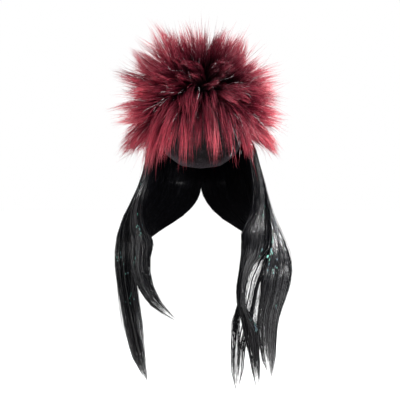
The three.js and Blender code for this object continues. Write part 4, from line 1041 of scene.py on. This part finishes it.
def ribbonPart(paths, width, tone, facing):
    # flat closed ribbon: a three-sided strand pressed to a quarter of its thickness, the way that it
    # is pressed turning along it
    strands, stations = paths.shape[:2]
    ahead = unit(np.gradient(paths, axis=1))
    across = unit(np.cross(ahead, facing[:, None, :]))
    upward = np.cross(across, ahead)
    way = np.linspace(0, 1, stations)
    turn = ribbon["twist"] * way[None, :, None] + ribbon["turnByTone"] * tone[:, None, None]
    thin = np.cross(ahead, across * np.cos(turn) + upward * np.sin(turn))[:, :-1, None, :]
    radii = np.full((strands, stations), width)
    part = strandPart(paths, radii, np.broadcast_to(way, radii.shape), tone, facing)
    points = part["points"].reshape(strands, -1, 3)
    away = points[:, :-1].reshape(strands, stations - 1, tube["sides"], 3) - paths[:, :-1, None, :]
    away = away - ribbon["pressed"] * thin * np.sum(away * thin, axis=-1, keepdims=True)
    points[:, :-1] = (paths[:, :-1, None, :] + away).reshape(strands, -1, 3)
    part["points"] = points.reshape(-1, 3)
    return part


teal = {"width": 0.00045, "stations": 4, "spreadDown": 0.016, "spreadAcross": 0.07,
        "length": (0.004, 0.011), "across": (0.03, 0.97), "depth": 1.02}
# teal film comes out of each lock in clusters of short sparks: how far down, place across, how many
glints = {
    "left_inner_lock": [(0.37, 0.16, 9), (0.265, 0.08, 4), (0.49, 0.5, 4), (0.2, 0.4, 2)],
    "left_outer_lock": [(0.48, 0.34, 4), (0.55, 0.1, 3), (0.63, 0.12, 6), (0.3, 0.6, 3)],
    "left_nape_lock": [(0.2, 0.3, 4), (0.3, 0.6, 4), (0.15, 0.7, 3)],
    "right_inner_lock": [(0.3, 0.5, 3), (0.44, 0.82, 5), (0.72, 0.6, 5), (0.75, 0.5, 3)],
    "right_middle_lock": [(0.4, 0.6, 3), (0.45, 0.5, 9)],
    "right_outer_lock": [(0.47, 0.06, 8), (0.52, 0.1, 7), (0.34, 0.3, 2), (0.65, 0.34, 3)],
    "right_nape_lock": [(0.2, 0.3, 4), (0.3, 0.6, 4), (0.15, 0.7, 3)],
}


def tealStrands():
    # short ribbons on the outer face of the long locks, thrown normally round each cluster's middle
    parts = []
    for lock in locks:
        clusters = np.array(glints[lock["name"]])
        middles = np.repeat(clusters[:, :2], clusters[:, 2].astype(int), axis=0)
        count = len(middles)
        start = middles[:, 0] + teal["spreadDown"] * dice.normal(size=count)
        across = middles[:, 1] + teal["spreadAcross"] * dice.normal(size=count)
        length = dice.uniform(*teal["length"], (count, 1))
        down = start[:, None] + length * np.linspace(0, 1, teal["stations"])[None, :]
        u = np.clip(across, *teal["across"])[:, None] + 0 * down
        points, out = lockPoints(lock, down, u, np.full_like(u, teal["depth"]))
        parts.append(ribbonPart(points, teal["width"], dice.uniform(size=count), out.mean(axis=1)))
    return joinParts(parts)


silver = {"strands": 190, "width": 0.00018, "stations": 20, "looseness": 1.0, "frontShare": 0.35,
          "frontSpread": 0.5, "reach": (0.66, 0.94), "fringeShorter": 0.35, "outward": 0.4,
          "bow": (0.006, 0.018), "circles": (4, 11), "curl": (0.004, 0.009)}


def silverStrands():
    # film strands that bow with the square of the way and curl in a small turning circle that grows
    # with it. A share of them is moved towards the front
    bearing, polar = rootsOnBase(silver["strands"])
    toFront = dice.uniform(size=len(bearing)) < silver["frontShare"]
    bearing = np.where(toFront, silver["frontSpread"] * bearing, bearing)
    count = len(bearing)
    curls = fieldCurls(bearing, polar, silver["looseness"])
    shorter = 1 - silver["fringeShorter"] * hairlineShare(bearing, polar)
    reach = dice.uniform(*silver["reach"], count) * shorter
    t = np.linspace(0, 1, silver["stations"])[None, :] * reach[:, None]
    outward = silver["outward"] * capNormals(bearing, polar, 0.0)[:, None, :]
    bow = unit(outward + dice.normal(size=(count, 1, 3)))
    bow = bow * dice.uniform(*silver["bow"], (count, 1, 1))
    circle = dice.uniform(0, 2 * np.pi, (count, 1)) + dice.uniform(*silver["circles"], (count, 1)) * t
    side, lift = unit(dice.normal(size=(count, 1, 3))), unit(dice.normal(size=(count, 1, 3)))
    turning = side * np.cos(circle)[..., None] + lift * np.sin(circle)[..., None]
    curl = dice.uniform(*silver["curl"], (count, 1, 1)) * turning
    paths = alongCurls(curls, t) + bow * t[..., None] ** 2 + curl * t[..., None]
    return ribbonPart(paths, silver["width"], dice.uniform(size=count), bow[:, 0])


finishPiece(makeMesh("teal_tinsel_strands", tealStrands(), tealTinsel), "black_hair")
finishPiece(makeMesh("silver_tinsel_strands", silverStrands(), silverTinsel), "red_hair")


# floor, light and camera

studio = {"floor": -0.75, "halfFloor": 60, "ambient": 0.4, "backdrop": 1.0, "roughness": 0.9, "cloud": 3,
          "paper": [(0.3, (0.93, 0.93, 0.93)), (0.7, (0.95, 0.95, 0.95))]}
ceiling = {"strength": 2.4, "angle": 70}
# spread narrows a lamp's beam, in degrees
softLights = {
    "key_light": {"place": (-1.5, -1.9, 0.9), "target": (0, 0, -0.2), "size": 0.9, "power": 60},
    "fill_light": {"place": (1.6, -1.65, 0.35), "target": (0, 0, -0.25), "size": 0.4, "power": 60},
    "gloss_light": {"place": (1.17, -0.8, 1.46), "target": (0.16, -0.05, -0.37), "size": 0.3,
                    "power": 1.8, "spread": 15},
    "back_light": {"place": (0.6, 2.2, 0.9), "target": (0, 0, -0.2), "size": 1.2, "power": 60},
}


def makeFloor():
    # one wide level square, seamless with the white behind it
    half, z = studio["halfFloor"], studio["floor"]
    mesh = bpy.data.meshes.new("floor")
    corners = [(-half, -half, z), (half, -half, z), (half, half, z), (-half, half, z)]
    mesh.from_pydata(corners, [], [(0, 1, 2, 3)])
    material, nodes, links, shader = newMaterial("pale_paper")
    cloud = noiseNode(nodes, links, studio["cloud"], 3)
    links.new(rampNode(nodes, links, cloud, studio["paper"]), shader.inputs["Base Color"])
    shader.inputs["Roughness"].default_value = studio["roughness"]
    mesh.materials.append(material)
    floor = bpy.data.objects.new("floor", mesh)
    bpy.context.scene.collection.objects.link(floor)


def makeWorld():
    # white to the camera; as light, the share that studio names
    world = bpy.data.worlds.new("studio")
    bpy.context.scene.world = world
    world.use_nodes = True
    nodes, links = world.node_tree.nodes, world.node_tree.links
    seen = nodes.new("ShaderNodeLightPath")
    strength = nodes.new("ShaderNodeMapRange")
    strength.inputs["To Min"].default_value = studio["ambient"]
    strength.inputs["To Max"].default_value = studio["backdrop"]
    links.new(seen.outputs["Is Camera Ray"], strength.inputs["Value"])
    links.new(strength.outputs["Result"], nodes["Background"].inputs["Strength"])
    nodes["Background"].inputs["Color"].default_value = (1, 1, 1, 1)


def skyLight(name, strength, angle):
    # straight down and even everywhere, so that the whole floor is as bright
    lamp = bpy.data.lights.new(name, "SUN")
    lamp.energy = strength
    lamp.angle = np.radians(angle)
    bpy.context.scene.collection.objects.link(bpy.data.objects.new(name, lamp))


def softLight(name, light):
    # square lamp turned from its place to its target
    lamp = bpy.data.lights.new(name, "AREA")
    lamp.shape = "SQUARE"
    lamp.size = light["size"]
    lamp.energy = light["power"]
    lamp.spread = np.radians(light.get("spread", 180))
    holder = bpy.data.objects.new(name, lamp)
    holder.location = light["place"]
    aim = Vector(light["target"]) - Vector(light["place"])
    holder.rotation_euler = aim.to_track_quat("-Z", "Y").to_euler()
    bpy.context.scene.collection.objects.link(holder)


makeFloor()
makeWorld()
skyLight("ceiling_light", ceiling["strength"], ceiling["angle"])
for name, light in softLights.items():
    softLight(name, light)

view = {"target": (-0.00185, 0, -0.2257), "distance": 2.5, "lens": 121.6, "sensor": 36}
camera = bpy.data.objects.new("camera", bpy.data.cameras.new("camera"))
camera.location = (view["target"][0], -view["distance"], view["target"][2])
camera.rotation_euler = (Vector(view["target"]) - camera.location).to_track_quat("-Z", "Y").to_euler()
camera.data.lens = view["lens"]
camera.data.sensor_width = view["sensor"]
bpy.context.scene.collection.objects.link(camera)
bpy.context.scene.camera = camera
bpy.context.scene.view_settings.view_transform = "Standard"
print("light and camera set")
